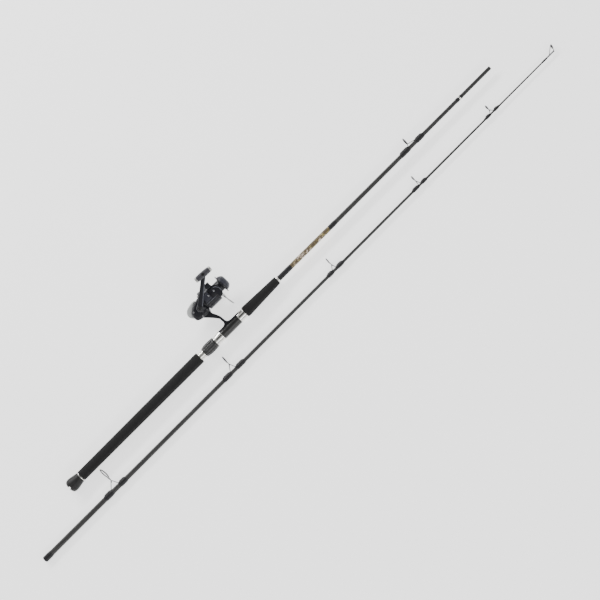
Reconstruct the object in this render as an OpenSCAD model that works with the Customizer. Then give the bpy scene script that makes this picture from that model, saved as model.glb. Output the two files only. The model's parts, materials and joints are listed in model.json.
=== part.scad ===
// Two-piece fishing rod with a fixed-spool reel.
// The butt section carries the reel and the tip section lies beside it.
// Millimetres, +X from butt to tip, +Y to the reel side, +Z up.

/* [Butt section] */
// Radius of the rubber butt cap
cap_r = 17.2; // [15:0.1:19]
// Radius of the rear grip at the seat
grip_r = 14.1; // [12:0.1:16]
// Radius of the reel seat tube
seat_r = 12; // [11.5:0.1:13]
// Radius of the blank just ahead of the fore grip
blank_r = 6.1; // [5.5:0.1:6.4]
// Radius of the ferrule spigot
ferrule_r = 4.5; // [3.5:0.05:4.5]
// Roll of the butt section with the reel resting on the floor, degrees
butt_roll = 16.5; // [16.3:0.1:17.5]

/* [Tip section] */
// Radius of the tip blank at the socket
socket_r = 6.7; // [6.2:0.1:7.2]
// Radius lost along each millimetre of the tip blank
tip_taper = 0.00325; // [0.003:0.00005:0.0034]
// Distance between the two rod axes along Y
rod_gap = 79.3; // [70:0.1:120]
// Roll of the tip section with its largest guide resting on the floor, degrees
tip_roll = 11; // [10:0.5:16]

/* [Reel] */
// Height of the reel shaft above the rod axis
shaft_h = 86.4; // [86:0.1:88]
// Radius of the spool lip
spool_r = 23.5; // [21:0.1:24]
// Radius of the rotor cup
rotor_r = 25.3; // [25:0.1:25.8]
// Outside radius of the rotor arms
arm_r = 36.5; // [36:0.1:36.8]
// Length of the crank between its two axes
crank_len = 78.9; // [70:0.1:90]
// Angle of the crank above the rod direction, degrees
crank_angle = 38; // [30:1:60]
// Length of the handle knob
knob_len = 45; // [35:1:50]
// Radius of the bail bow
bail_r = 35; // [34.6:0.1:35.4]
// Angle of the closed bail about its pivot, degrees
bail_angle = -76.8; // [-80:0.1:-72]

/* [Hidden] */
$fn = 40;
butt_y = -15;
tip_y = butt_y - rod_gap;
tip_z = 7.7;
blank_taper = 0.00243;
wall = 1.2;
butt_end = -690.4;
ferrule_end = 708.7;
blank_end = 614.8;
socket_end = -846.9;
socket_bore = ferrule_r + 0.04;
shaft_r = 1.65;
crank_x = -172;
crank_h = 79.4;
crank_r = 3.5;
boss_end = -38.9;
pivot_x = -121.1;
bail_leg = 18.7;
wire_r = 1.2;
gear_r = 17.2;
gear_teeth = 40;
pinion_teeth = 8;
mesh_offset = shaft_h - crank_h;
swing_x = -185.6;
swing_h = 76.6;
swing_pitch = norm([crank_x - swing_x, crank_h - swing_h]) / 3;
swing_line = atan2(crank_h - swing_h, crank_x - swing_x);
rail_h = 68.8;
slider_x = -181;
roller_out = 18.5;
nut_bore = 11.06;
foot_under = 9.5;
foot_half = 6.5;
arm_half = 12;
cover_spots = [[-190.3, 83.8], [-180.9, 63.6], [-163.8, 66.6]];
lever_spot = [-188, 71.2];
rubber = [0.17, 0.17, 0.17];
foam = [0.2, 0.2, 0.2];
silver = [0.8, 0.8, 0.78];
graphite = [0.22, 0.23, 0.28];
thread = [0.08, 0.08, 0.09];
steel = [0.65, 0.66, 0.68];
brass = [0.75, 0.62, 0.32];

// Guides of the tip section: place, ring diameter, ring height, lean, then where
// the rear winding starts and ends and where the front winding starts and ends.
tip_guides = [
    [-606.6, 30, 44.5, 3, -646, -621, -598, -576.5],
    [-218, 20, 33.8, -3.4, -255, -228, -212, -185],
    [116.6, 17, 26.3, -4.4, 90, 109, 120, 142],
    [394.7, 13.9, 22.8, -3, 371, 393, 399.5, 418],
    [634.4, 12.4, 17.8, -3, 612.5, 630, 640, 656]
];
butt_ring = [444.2, 19.5, 17.8, -2, 412.2, 441.3, 461.7, 487.1];

function butt_blank_r(x) = blank_r - blank_taper * (x - 6);
function tip_blank_r(x) = socket_r - tip_taper * (x + 815);
function blank_radius(on_tip, x) = on_tip ? tip_blank_r(x) : butt_blank_r(x);

// Frames: both sections are drawn along X with the guides towards +Y.
module on_butt() translate([0, butt_y, cap_r]) rotate([butt_roll, 0, 0]) children();
module on_tip() translate([0, tip_y, tip_z]) rotate([tip_roll, 0, 0]) children();
module on_shaft() on_butt() translate([0, shaft_h, 0]) children();
module on_crank() on_butt() translate([crank_x, crank_h, 0]) children();
module on_knob() on_crank() rotate([0, 0, crank_angle]) translate([crank_len, 0, 0]) children();
module on_bail() on_shaft() translate([pivot_x, 0, 0]) children();

// Turns a profile of [radius, x] points about X.
module turned(points, facets = $fn) {
    rotate([0, 90, 0]) rotate_extrude($fn = facets) polygon(points);
}

// Tube about X with straight tapers between its ends.
module sleeve(x0, x1, out0, out1, in0, in1) {
    turned([[in0, x0], [out0, x0], [out1, x1], [in1, x1]]);
}

// Sleeve fitted over the butt blank.
module grip_sleeve(x0, x1, out0, out1) {
    sleeve(x0, x1, out0, out1, butt_blank_r(x0) + 0.03, butt_blank_r(x1) + 0.03);
}

// Cylinder along X.
module bar_x(x0, x1, r) translate([x0, 0, 0]) rotate([0, 90, 0]) cylinder(h = x1 - x0, r = r);

// ---- Butt section ----

module butt_cap() color(rubber) on_butt() difference() {
    turned([[0, butt_end], [cap_r - 4, butt_end], [cap_r - 1, butt_end + 1.2], [cap_r, butt_end + 4],
        [cap_r, -674], [13.2, -652.6], [butt_blank_r(-652) + 0.03, -652.6],
        [butt_blank_r(-680) + 0.03, -680], [0, -680]]);
    for (turn = [0, 90]) rotate([turn, 0, 0]) translate([butt_end, 0, 0]) cube([11, 5.5, 50], center = true);
}

module cap_ring() color(silver) on_butt() grip_sleeve(-652.6, -650.6, 13.4, 13.4);

module rear_grip() color(foam) on_butt() turned([[butt_blank_r(-650.6) + 0.03, -650.6], [12.4, -650.6],
    [13, -649.8], [grip_r, -257], [grip_r - 0.8, -255.8], [butt_blank_r(-255.8) + 0.03, -255.8]]);

module butt_blank() color(rubber) on_butt() turned([[butt_blank_r(-679.9) - wall, -679.9],
    [butt_blank_r(-679.9), -679.9], [butt_blank_r(blank_end), blank_end],
    [butt_blank_r(blank_end) - wall, blank_end]]);

module seat_barrel() color(silver) on_butt() difference() {
    turned(concat([[butt_blank_r(-181) + 0.03, -181.2], [butt_blank_r(-255.8) + 0.03, -255.8]],
        [for (i = [0 : 26]) each [[10.3, -255.6 + 2 * i], [11, -254.6 + 2 * i]]], [[10.6, -201.6], [10.6, -181.2]]));
    translate([-200, foot_under - 0.05, -20]) cube([30, 10, 40]);
}

module lock_nut() color(rubber) on_butt() difference() {
    turned([[nut_bore, -241.2], [12.2, -241.2], [14.4, -239.2], [14.7, -236], [12.9, -205], [12.4, -203.7],
        [nut_bore, -203.7]]);
    for (i = [0 : 11]) rotate([i * 30, 0, 0]) translate([-237, 15.6, 0]) rotate([0, 90, -2.6])
        cylinder(h = 27, r = 1.6, $fn = 16);
}

module hood_ring() color(silver) on_butt() turned([[nut_bore, -203.5], [12.4, -203.5], [12.4, -201.8],
    [11.7, -201.6], [11.7, -200.6], [12.2, -200.4], [12.2, -199.4], [nut_bore, -199.4]]);

// Side outline of the reel foot, grown on every side by the gap given.
module foot_outline(gap = 0) polygon([[-191 - gap, foot_under - gap], [-191 - gap, 10.5 + gap],
    [-181, 12.2 + gap], [-126, 12.2 + gap], [-116 + gap, 10.5 + gap], [-116 + gap, foot_under - gap]]);

module foot_pocket() translate([0, 0, -foot_half - 0.3]) linear_extrude(2 * foot_half + 0.6) foot_outline(0.3);

// Hood ramp over the end of the foot, from its closed end to its mouth.
module hood_ramp(closed_x, mouth_x) translate([0, 0, -7.8]) linear_extrude(15.6)
    polygon([[closed_x, 8], [closed_x, 11.4], [mouth_x, 13.8], [mouth_x, 8]]);

module movable_hood() color(silver) on_butt() difference() {
    union() {
        bar_x(-199.3, -180.9, 12.2);
        hood_ramp(-197, -180.9);
    }
    bar_x(-200, -180, nut_bore);
    foot_pocket();
}

module seat_body() color(rubber) on_butt() difference() {
    turned([[butt_blank_r(-181) + 0.03, -180.8], [seat_r, -180.8], [seat_r, -126.2], [11, -126.2],
        [11, -106.4], [butt_blank_r(-106.4) + 0.03, -106.4]]);
    translate([-182, foot_under - 0.05, -20]) cube([67, 10, 40]);
}

module fixed_hood() color(silver) on_butt() difference() {
    union() {
        bar_x(-126.1, -106.4, 12.3);
        hood_ramp(-110, -126.1);
    }
    bar_x(-127, -106, 11.03);
    foot_pocket();
}

module fore_grip() color(foam) on_butt() turned([[butt_blank_r(-106.4) + 0.03, -106.4], [12.5, -106.4],
    [13.9, -104.5], [13.9, -96], [11.9, -46], [10.6, -8], [10.2, 0.6], [9.4, 1.4],
    [butt_blank_r(1.4) + 0.03, 1.4]]);

module winding_check() color(silver) on_butt() grip_sleeve(1.4, 5.9, 9.6, 7.4);

module label_sleeve() color([0.5, 0.45, 0.3]) on_butt()
    grip_sleeve(47.7, 173.7, butt_blank_r(47.7) + 0.35, butt_blank_r(173.7) + 0.35);

// Thread winding on a blank with bevelled ends.
module winding(on_tip, x0, x1, thick) {
    r0 = blank_radius(on_tip, x0);
    r1 = blank_radius(on_tip, x1);
    turned([[r0 + 0.03, x0], [r0 + 0.1, x0], [r0 + thick, x0 + 1.5], [r1 + thick, x1 - 1.5],
        [r1 + 0.1, x1], [r1 + 0.03, x1]]);
}

// Winding over a guide foot, raised on the guide side.
module foot_winding(on_tip, x0, x1) difference() {
    r = blank_radius(on_tip, x0);
    union() {
        winding(on_tip, x0, x1, 0.5);
        translate([0, r - 0.4, 0]) turned([[0, x0 + 1], [1.2, x0 + 1], [2.2, x0 + 5], [2.2, x1 - 5],
            [1.2, x1 - 1], [0, x1 - 1]], 24);
    }
    sleeve(x0 - 1, x1 + 1, blank_radius(on_tip, x0 - 1) + 0.03, blank_radius(on_tip, x1 + 1) + 0.03, 0, 0);
    translate([x0 + 1.5, r - 1, -1.45]) cube([x1 - x0 + 2, 2.15, 2.9]);
    translate([x0 - 3.5, r - 1, -1.45]) cube([x1 - x0 + 2, 2.15, 2.9]);
}

module butt_windings() color(thread) on_butt() {
    winding(false, 6, 47.6, 0.5);
    winding(false, 173.9, 196, 0.5);
    winding(false, 596, 614.7, 0.6);
    foot_winding(false, butt_ring[4], butt_ring[5]);
    foot_winding(false, butt_ring[6], butt_ring[7]);
}

module ferrule_trim() color(silver) on_butt() sleeve(605.6, 609.2, 5.5, 5.5, 5.26, 5.25);

// Guide frame: ring band, neck, two legs and two feet.
module guide_frame(on_tip, g) {
    x = g[0];
    outer = g[1] / 2;
    rear = g[5];
    front = g[6];
    r_rear = blank_radius(on_tip, rear);
    r_front = blank_radius(on_tip, front);
    split = on_tip ? g[2] - outer - g[1] * 0.28 : g[2] - outer + 0.6;
    translate([x, g[2], 0]) rotate([0, 0, g[3]]) turned([[outer - 1.5, -1.1], [outer, -0.8], [outer, 0.8],
        [outer - 1.5, 1.1]]);
    if (on_tip) translate([0, 0, -1.2]) linear_extrude(2.4)
        polygon([[x - 1.6, split - 0.6], [x - 1.3, g[2] - outer + 0.5], [x + 1.3, g[2] - outer + 0.5],
            [x + 1.6, split - 0.6], [x, split - 2.4]]);
    translate([0, 0, -1]) linear_extrude(2) {
        polygon([[x - 1.5, split], [x + 0.6, split - 1.2], [rear, r_rear + 0.05], [rear - 2.5, r_rear + 0.05],
            [rear - 2.5, r_rear + 1]]);
        polygon([[x + 1.5, split], [x - 0.6, split - 1.2], [front, r_front + 0.05], [front + 2.5, r_front + 0.05],
            [front + 2.5, r_front + 1]]);
    }
    translate([rear - 20, r_rear + 0.1, -1.4]) cube([19, 0.9, 2.8]);
    translate([front + 1, r_front + 0.05, -1.4]) cube([17, 0.9, 2.8]);
}

// Hard ring seated in the band of a guide.
module guide_ring(g) translate([g[0], g[2], 0]) rotate([0, 0, g[3]]) {
    outer = g[1] / 2 - 1.52;
    inner = outer - 0.05 * g[1] - 0.6;
    turned([[inner, -0.7], [inner + 0.6, -1.5], [outer, -1.5], [outer, 1.5], [inner + 0.6, 1.5], [inner, 0.7]]);
}

module butt_guide_frame() color(steel) on_butt() guide_frame(false, butt_ring);
module butt_guide_ring() color(thread) on_butt() guide_ring(butt_ring);

module ferrule_spigot() color(graphite) on_butt() turned([[butt_blank_r(560) - wall - 0.03, 560],
    [butt_blank_r(blank_end) - wall - 0.03, blank_end + 0.05], [ferrule_r, blank_end + 0.05],
    [ferrule_r, ferrule_end - 0.6], [ferrule_r - 0.6, ferrule_end], [2, ferrule_end], [2, 560]]);

// ---- Tip section ----

module tip_blank() color(rubber) on_tip() turned([[socket_bore, socket_end], [socket_r, socket_end],
    [tip_blank_r(-815), -815], [tip_blank_r(816.4), 816.4], [0, 816.4], [0, 700],
    [tip_blank_r(700) - 1, 700], [tip_blank_r(-740) - wall, -740], [socket_bore, -750]]);

module tip_guide_frame(i) color(steel) on_tip() guide_frame(true, tip_guides[i]);

module tip_guide_rings() color(thread) on_tip() for (g = tip_guides) guide_ring(g);

module tip_windings() color(thread) on_tip() {
    turned([[socket_r + 0.03, -846], [7.3, -846], [7.65, -845], [7.65, -829.5], [6.9, -823],
        [socket_r + 0.03, -823]]);
    for (g = tip_guides) {
        foot_winding(true, g[4], g[5]);
        foot_winding(true, g[6], g[7]);
    }
    winding(true, 799, 816.3, 0.6);
}

module tip_top() color(steel) on_tip() {
    bar_x(816.5, 840, 1.9);
    translate([843, 10.4, 0]) rotate([0, 0, -15]) turned([[5, -1.1], [6.5, -0.8], [6.5, 0.8], [5, 1.1]]);
    translate([0, 0, -0.9]) linear_extrude(1.8) {
        polygon([[824, 1], [827, 1], [843, 15.9], [843.4, 16.6]]);
        polygon([[835, 0], [840, -1.6], [841.4, 4.9], [839.6, 5.6]]);
    }
}

module tip_top_ring() color(thread) on_tip() translate([843, 10.4, 0]) rotate([0, 0, -15])
    turned([[3.6, -0.6], [4.1, -1.4], [4.98, -1.4], [4.98, 1.4], [4.1, 1.4], [3.6, 0.6]]);

// ---- Reel body ----

module body_outline() polygon([[-158.6, 64], [-158.6, 100.5], [-163, 101.8], [-176.2, 98.8], [-186.3, 93.4],
    [-197.6, 84], [-200, 73.9], [-199.2, 67], [-195.5, 63.2], [-189.6, 62], [-184.7, 60], [-163, 59.5]]);
module body_crown() polygon([[-160.6, 67.5], [-160.6, 98], [-165, 98.5], [-175.2, 95.8], [-184.6, 90.8],
    [-194.6, 82.4], [-196.8, 73.9], [-196, 69], [-193, 66], [-184, 63.6], [-164, 63.5]]);
module stem_outline() polygon([[-159.3, 66], [-162.1, 57.6], [-161.1, 51.7], [-156.9, 43.2], [-153.6, 33.9],
    [-152.9, 25.5], [-152, 17.6], [-148.2, 13.8], [-139, 12.6], [-125.8, 12], [-126, 11], [-181, 11],
    [-174.6, 12.3], [-166.3, 12.4], [-162, 13.8], [-158.3, 18], [-158.6, 22.6], [-158.3, 30.6], [-163.1, 37.1],
    [-176.2, 52.1], [-184.7, 62.7], [-180, 66]]);
module cavity_outline() polygon([[-160, 67.5], [-160, 97], [-163, 98.8], [-175.4, 96], [-184.6, 91],
    [-195, 82.4], [-197.2, 73.9], [-196, 69], [-193, 66.5], [-187, 65.6]]);

module reel_body() color(graphite) on_butt() difference() {
    union() {
        translate([0, 0, -14]) linear_extrude(20) body_outline();
        translate([0, 0, -20]) linear_extrude(20) body_crown();
        translate([0, 0, -6]) linear_extrude(12) stem_outline();
        translate([0, 0, -foot_half]) linear_extrude(2 * foot_half) foot_outline();
        translate([0, shaft_h, 0]) turned([[0, -161], [20.5, -161], [20.5, -151], [19, -149.5], [0, -149.5]]);
        translate([crank_x, crank_h, boss_end + 1.7]) cylinder(h = -14 - boss_end, r = 8.8);
    }
    translate([0, 0, -17]) linear_extrude(24) cavity_outline();
    translate([crank_x, crank_h, -2]) cylinder(h = 9, r = gear_r + 0.6);
    translate([0, shaft_h, 0]) turned([[0, -162], [19, -162], [19, -154.3], [8.03, -154.3], [8.03, -150.3],
        [5.4, -150.3], [5.4, -149], [0, -149]]);
    translate([0, shaft_h, 0]) bar_x(-206, -184, 3);
    translate([lever_spot[0], lever_spot[1], -21]) cylinder(h = 5, r = 1.45);
    translate([crank_x, crank_h, boss_end]) cylinder(h = -12 - boss_end, r = 6.53);
}

module side_cover() color(graphite) on_butt() difference() {
    union() {
        translate([0, 0, 6.05]) linear_extrude(7.95) body_outline();
        translate([0, 0, 6.05]) linear_extrude(13.95) body_crown();
        translate([crank_x, crank_h, 19]) cylinder(h = 17, r1 = 11, r2 = 8.6);
        for (p = cover_spots) translate([p[0], p[1], 6.05]) cylinder(h = 13.95, r = 3.1);
    }
    translate([0, 0, 6]) linear_extrude(10.5) cavity_outline();
    translate([crank_x, crank_h, 6]) cylinder(h = 1.2, r = gear_r + 0.6);
    translate([crank_x, crank_h, 5]) cylinder(h = 26, r = 4.2);
    translate([crank_x, crank_h, 30.9]) cylinder(h = 6, r = 6.53);
    translate([0, shaft_h, 0]) bar_x(-162, -150, 20.8);
}

module cover_screws() color(steel) on_butt() for (p = cover_spots)
    translate([p[0], p[1], 0]) difference() {
        union() {
            translate([0, 0, 20.02]) cylinder(h = 1, r = 2.2);
            translate([0, 0, 20.02]) cylinder(h = 0.6, r = 2.4);
        }
        translate([0, 0, 21]) cube([3.4, 0.7, 1], center = true);
        translate([0, 0, 21]) cube([0.7, 3.4, 1], center = true);
    }

module rear_cover() color(silver) on_butt() difference() {
    translate([0, 0, -15]) linear_extrude(21) polygon([[-172, 101.5], [-173, 104.4], [-180.7, 104.7],
        [-194.8, 101.9], [-201.6, 98.8], [-206, 93.5], [-207.5, 87.8], [-207, 82.5], [-204, 77.2],
        [-201, 73.5], [-200.1, 73.9], [-197.7, 84.1], [-186.4, 93.5], [-176.2, 99]]);
    translate([0, 0, -13]) linear_extrude(17) polygon([[-181, 102.4], [-194, 99.8], [-200, 97],
        [-204.6, 91], [-205.3, 86], [-203.6, 81], [-199.7, 83.8], [-187.5, 94.8]]);
    translate([0, shaft_h, 0]) bar_x(-201, -190, 3);
}

module crank_bearings() color(steel) on_crank() for (z = [-24, 31]) translate([0, 0, z]) difference() {
    cylinder(h = 4.8, r = 6.5);
    translate([0, 0, -1]) cylinder(h = 7, r = crank_r + 0.06);
}

module reverse_clutch() color(brass) on_crank() difference() {
    translate([0, 0, -19]) cylinder(h = 6, r = 6.5);
    translate([0, 0, -20]) cylinder(h = 9, r = crank_r + 0.06);
}

module pinion_bearing() color(steel) on_shaft() turned([[4.06, -154.2], [8, -154.2], [8, -150.4], [4.06, -150.4]]);

module port_cap() color(graphite) on_crank() difference() {
    union() {
        translate([0, 0, boss_end]) cylinder(h = 1.65, r = 8.8);
        translate([0, 0, boss_end + 1.6]) cylinder(h = 4, r = 6.45);
    }
    translate([0, 0, boss_end]) cube([11, 1.6, 2], center = true);
}

module slide_rail() color(steel) on_butt() translate([0, rail_h, -1]) bar_x(-194.2, -176.5, 1);

module reverse_lever() color(graphite) on_butt() translate([lever_spot[0], lever_spot[1], -17]) {
    translate([0, 0, -4.4]) cylinder(h = 1.2, r = 3.4);
    translate([0, 0, -3.3]) cylinder(h = 4, r = 1.4);
    translate([-1.4, -7.2, -4.4]) cube([2.8, 6.5, 1.2]);
}

// ---- Seat, crank and gears ----

// Face gear with teeth that lie along lines past its centre.
module drive_gear() color(brass) on_crank() difference() {
    union() {
        translate([0, 0, 3.4]) cylinder(h = 2.8, r = gear_r);
        translate([0, 0, 3.4]) cylinder(h = 7, r = 6.5);
        for (i = [0 : gear_teeth - 1]) rotate([0, 0, i * 360 / gear_teeth])
            translate([12.3, mesh_offset - 0.35, 2.5]) cube([3, 0.7, 1.4]);
        translate([0, 0, -6]) swing_teeth(12, swing_pitch);
        translate([0, 0, -3.1]) cylinder(h = 1, r = 4);
        translate([0, 0, -2.2]) cylinder(h = 5.7, r = 4.6);
    }
    translate([0, 0, -8]) cylinder(h = 20, r = crank_r + 0.02);
}

// Small spur gear with straight teeth on the pitch radius given.
module swing_teeth(count, r) {
    cylinder(h = 3, r = r - 0.6);
    for (i = [0 : count - 1]) rotate([0, 0, i * 360 / count]) translate([r - 1, -0.4, 0]) cube([1.5, 0.8, 3]);
}

module crank_shaft() color(steel) on_crank() {
    translate([0, 0, -28.9]) cylinder(h = 69, r = crank_r);
    translate([0, 0, 36.4]) cylinder(h = 3.1, r = 6);
}

// Plan of the crank arm, wide at the shaft and narrow at the knob.
module arm_plan() {
    circle(r = 7.2);
    translate([crank_len, 0]) circle(r = 4.6);
    polygon([[0, -7.2], [20, -6.4], [crank_len, -4.4], [crank_len, 4.4], [20, 6.4], [0, 7.2]]);
}

module crank_arm() color(graphite) on_crank() rotate([0, 0, crank_angle]) difference() {
    intersection() {
        translate([0, 0, 30]) linear_extrude(50) arm_plan();
        rotate([90, 0, 0]) translate([0, 0, -10]) linear_extrude(20) polygon([[-8, 39.6], [8, 39.6],
            [crank_len - 8, 58.6], [crank_len + 6, 60.6], [crank_len + 6, 65.2], [crank_len - 8, 63.6],
            [8, 45.6], [-8, 45.6]]);
    }
    cylinder(h = 60, r = crank_r + 0.02);
    translate([crank_len, 0, 50]) cylinder(h = 30, r = 2.52);
}

module crank_screw() color(steel) on_crank() difference() {
    union() {
        translate([0, 0, 45.65]) cylinder(h = 2.2, r = 5);
        translate([0, 0, 40.15]) cylinder(h = 6, r = 3.4);
    }
    translate([0, 0, 48]) cube([7, 1.2, 2], center = true);
}

module knob_spindle() color(steel) on_knob() {
    translate([0, 0, 59.4]) cylinder(h = 21, r = 2.5);
    translate([0, 0, 79.4]) cylinder(h = 1.2, r = 3.6);
}

// The handle bar lies almost along the rod.
module on_bar() on_knob() rotate([0, 0, -crank_angle - 4]) translate([0, 0, 76]) children();

module knob() color(rubber) on_bar() difference() {
    union() {
        turned([[0, -knob_len / 2 + 5], [6.2, -knob_len / 2 + 5], [6.8, -12], [6.4, -5], [6.4, 5], [6.8, 12],
            [6.2, knob_len / 2 - 5], [0, knob_len / 2 - 5]]);
        translate([0, 0, -9.6]) cylinder(h = 9, r = 5.2);
    }
    translate([0, 0, -20]) cylinder(h = 30, r = 2.56);
    translate([0, 0, 3.3]) cylinder(h = 10, r = 3.7);
}

module knob_caps() color(silver) on_bar() for (side = [0, 1]) mirror([side, 0, 0])
    turned([[0, knob_len / 2 - 4.95], [6.2, knob_len / 2 - 4.95], [6, knob_len / 2 - 1.6],
        [4.4, knob_len / 2 - 0.2], [0, knob_len / 2]]);

// Gear on the swing shaft with its off-centre pin.
module swing_gear() color(brass) on_butt() translate([swing_x, swing_h, 0]) {
    rotate([0, 0, 1.5 * swing_line - 7.5]) translate([0, 0, -5.8]) swing_teeth(24, 2 * swing_pitch);
    translate([0, 0, -16.98]) cylinder(h = 12, r = 2);
    translate([5.5, 0, -3]) cylinder(h = 1.6, r = 1.2);
}

module slider() color(steel) on_butt() difference() {
    union() {
        translate([slider_x, rail_h - 1.6, -1]) cube([2.8, 17.4, 2]);
        translate([0, shaft_h, 0]) bar_x(slider_x, slider_x + 2.8, 2.3);
    }
    translate([0, shaft_h, 0]) bar_x(slider_x - 1, slider_x + 4, shaft_r + 0.02);
    translate([0, rail_h, -1]) bar_x(slider_x - 1, slider_x + 4, 1.06);
}

// ---- Rotor, bail and spool ----

module pinion() color(brass) on_shaft() difference() {
    union() {
        bar_x(-160.3, -154.6, 2.35);
        for (i = [0 : pinion_teeth - 1]) rotate([(i + 0.5) * 360 / pinion_teeth, 0, 0])
            translate([-160.3, -0.38, 2]) cube([5.7, 0.76, 1.2]);
        bar_x(-154.8, -134, 4);
    }
    bar_x(-161, -133, shaft_r + 0.07);
}

// Plan of the two rotor arms seen along the bail pivot.
module rotor_plan() {
    translate([-156.4, -arm_half]) square([36, 2 * arm_half]);
    translate([-119.4, 0]) circle(r = 13.2);
}

module rotor() color(graphite) on_shaft() difference() {
    union() {
        turned([[4.06, -147], [22.5, -147], [22.5, -156.4], [24.3, -156.4], [rotor_r, -155], [rotor_r, -120.5],
            [24.6, -119.5], [22.5, -119.5], [22.5, -143.5], [8, -143.5], [8, -140.1], [4.06, -140.1]]);
        intersection() {
            turned([[24.4, -156.4], [33, -156.4], [arm_r - 1, -155], [arm_r, -152], [arm_r, -133.5],
                [33.2, -132.5], [33.2, -105], [30, -105], [30, -146], [24.4, -148]], 64);
            translate([0, 0, -50]) linear_extrude(100) rotor_plan();
        }
        translate([pivot_x - 9.4, 12, 26]) cube([13.5, 13.2, 7.2]);
    }
    for (side = [0, 180]) rotate([side, 0, 0]) translate([pivot_x, 0, 25]) cylinder(h = 20, r = 2.02);
    translate([-137.9, 0, 33.3]) cylinder(h = 10, r = 1.52);
}

module rotor_nut() color(brass) on_shaft() translate([-140, 0, 0]) rotate([0, 90, 0]) difference() {
    cylinder(h = 4.5, r = 7, $fn = 6);
    translate([0, 0, -1]) cylinder(h = 7, r = 4.03);
}

module arm_cover() color(graphite) on_shaft() difference() {
    intersection() {
        turned([[arm_r + 0.03, -152], [arm_r + 1, -151], [arm_r + 1, -134.5], [arm_r + 0.03, -133.6]], 64);
        translate([-155, -9, 0]) cube([24, 18, 50]);
    }
    translate([-137.9, 0, 33]) cylinder(h = 10, r = 1.52);
}

module rotor_screws() color(steel) on_shaft() {
    for (side = [0, 180]) rotate([side, 0, 0]) translate([pivot_x, 0, 0]) {
        translate([0, 0, 28.5]) cylinder(h = 8.4, r = 2);
        translate([0, 0, 36.7]) cylinder(h = 0.8, r = 3);
    }
    translate([-137.9, 0, 33.4]) cylinder(h = 4.5, r = 1.5);
    translate([-137.9, 0, 37.55]) cylinder(h = 0.8, r = 2.6);
}

// Plate of the bail at one end of its wire.
module bail_plate(reach) {
    circle(r = 6.5);
    rotate(bail_angle) polygon([[0, -6.2], [reach, -3], [reach + 1, 0], [reach, 3], [0, 6.2]]);
}

module bail_arm() color(graphite) on_bail() difference() {
    union() {
        translate([0, 0, 33.5]) linear_extrude(2.9) bail_plate(21);
        rotate([0, 0, bail_angle]) translate([roller_out, 0, 29.3]) {
            cylinder(h = 4.3, r = 1);
            cylinder(h = 0.5, r = 1.9);
        }
    }
    translate([0, 0, 30]) cylinder(h = 10, r = 2.06);
}

module bail_holder() color(graphite) on_bail() difference() {
    translate([0, 0, -36.4]) linear_extrude(2.9) bail_plate(15);
    translate([0, 0, -40]) cylinder(h = 10, r = 2.06);
}

// Bow of the bail: a half circle with a short leg to the plate on the far side.
module bail_wire() color(silver) on_bail() rotate([0, 0, bail_angle]) {
    difference() {
        translate([bail_leg, 0, 0]) rotate([90, 0, 0]) rotate([0, 0, -90])
            rotate_extrude(angle = 180, $fn = 64) translate([bail_r, 0]) circle(r = wire_r, $fn = 16);
        translate([bail_leg - 1, -3, 30]) cube([4.4, 6, 8]);
    }
    translate([16.1, 0, -bail_r]) rotate([0, 90, 0]) cylinder(h = bail_leg - 16.1, r = wire_r, $fn = 16);
}

module line_roller() color(brass) on_bail() rotate([0, 0, bail_angle]) translate([roller_out, 0, 30])
    difference() {
        union() {
            cylinder(h = 3, r = 2.4);
            cylinder(h = 0.6, r = 3.1);
            translate([0, 0, 2.4]) cylinder(h = 0.6, r = 3.1);
        }
        translate([0, 0, -1]) cylinder(h = 5, r = 1.06);
    }

module main_shaft() color(steel) on_shaft() bar_x(-183, -90, shaft_r);

module spool() color(graphite) on_shaft() turned([[shaft_r + 0.07, -120], [4, -120], [4, -106], [12, -106],
    [12, -118.7], [19.5, -121], [19.5, -126], [21.5, -126], [21.5, -118.7], [14, -118.7], [14, -99.8],
    [22.6, -98.9], [spool_r, -98.2], [spool_r, -97.2], [22.8, -96.7], [19.6, -96.7], [19.4, -98], [11, -98.4],
    [11, -104], [shaft_r + 0.07, -104]], 64);

module drag_washers() color(steel) on_shaft() for (i = [0 : 3])
    turned([[shaft_r + 0.3, -103.8 + 1.3 * i], [10.6, -103.8 + 1.3 * i], [10.6, -102.8 + 1.3 * i],
        [shaft_r + 0.3, -102.8 + 1.3 * i]]);

module drag_knob() color(graphite) on_shaft() difference() {
    turned([[0, -98.2], [8, -98.2], [8, -96.4], [19, -96.4], [18.6, -94], [16.6, -89], [13.6, -84.2],
        [11.7, -82.7], [0, -82.7]], 64);
    bar_x(-99, -89.8, shaft_r + 0.06);
    for (i = [0 : 11]) rotate([i * 30, 0, 0]) translate([-97, 20.6, 0]) rotate([0, 90, 0])
        cylinder(h = 20, r = 3.4, $fn = 24);
}

butt_cap();
cap_ring();
rear_grip();
butt_blank();
seat_barrel();
seat_body();
fixed_hood();
fore_grip();
winding_check();
label_sleeve();
butt_windings();
ferrule_trim();
butt_guide_frame();
butt_guide_ring();
ferrule_spigot();
movable_hood();
hood_ring();
lock_nut();
tip_blank();
tip_guide_frame(0);  // tip_guide_frame_1
tip_guide_frame(1);  // tip_guide_frame_2
tip_guide_frame(2);  // tip_guide_frame_3
tip_guide_frame(3);  // tip_guide_frame_4
tip_guide_frame(4);  // tip_guide_frame_5
tip_guide_rings();
tip_windings();
tip_top();
tip_top_ring();
reel_body();
side_cover();
cover_screws();
rear_cover();
crank_bearings();
reverse_clutch();
pinion_bearing();
port_cap();
slide_rail();
reverse_lever();
drive_gear();
crank_shaft();
crank_arm();
crank_screw();
knob_spindle();
knob();
knob_caps();
swing_gear();
slider();
pinion();
rotor();
rotor_nut();
arm_cover();
rotor_screws();
bail_arm();
bail_holder();
bail_wire();
line_roller();
main_shaft();
spool();
drag_washers();
drag_knob();
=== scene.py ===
# Two-piece fishing rod with its reel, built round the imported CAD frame.
# Local frames are in millimetres: x along the rod, y towards the reel or the guides, z across both.
import json
import math

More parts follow.
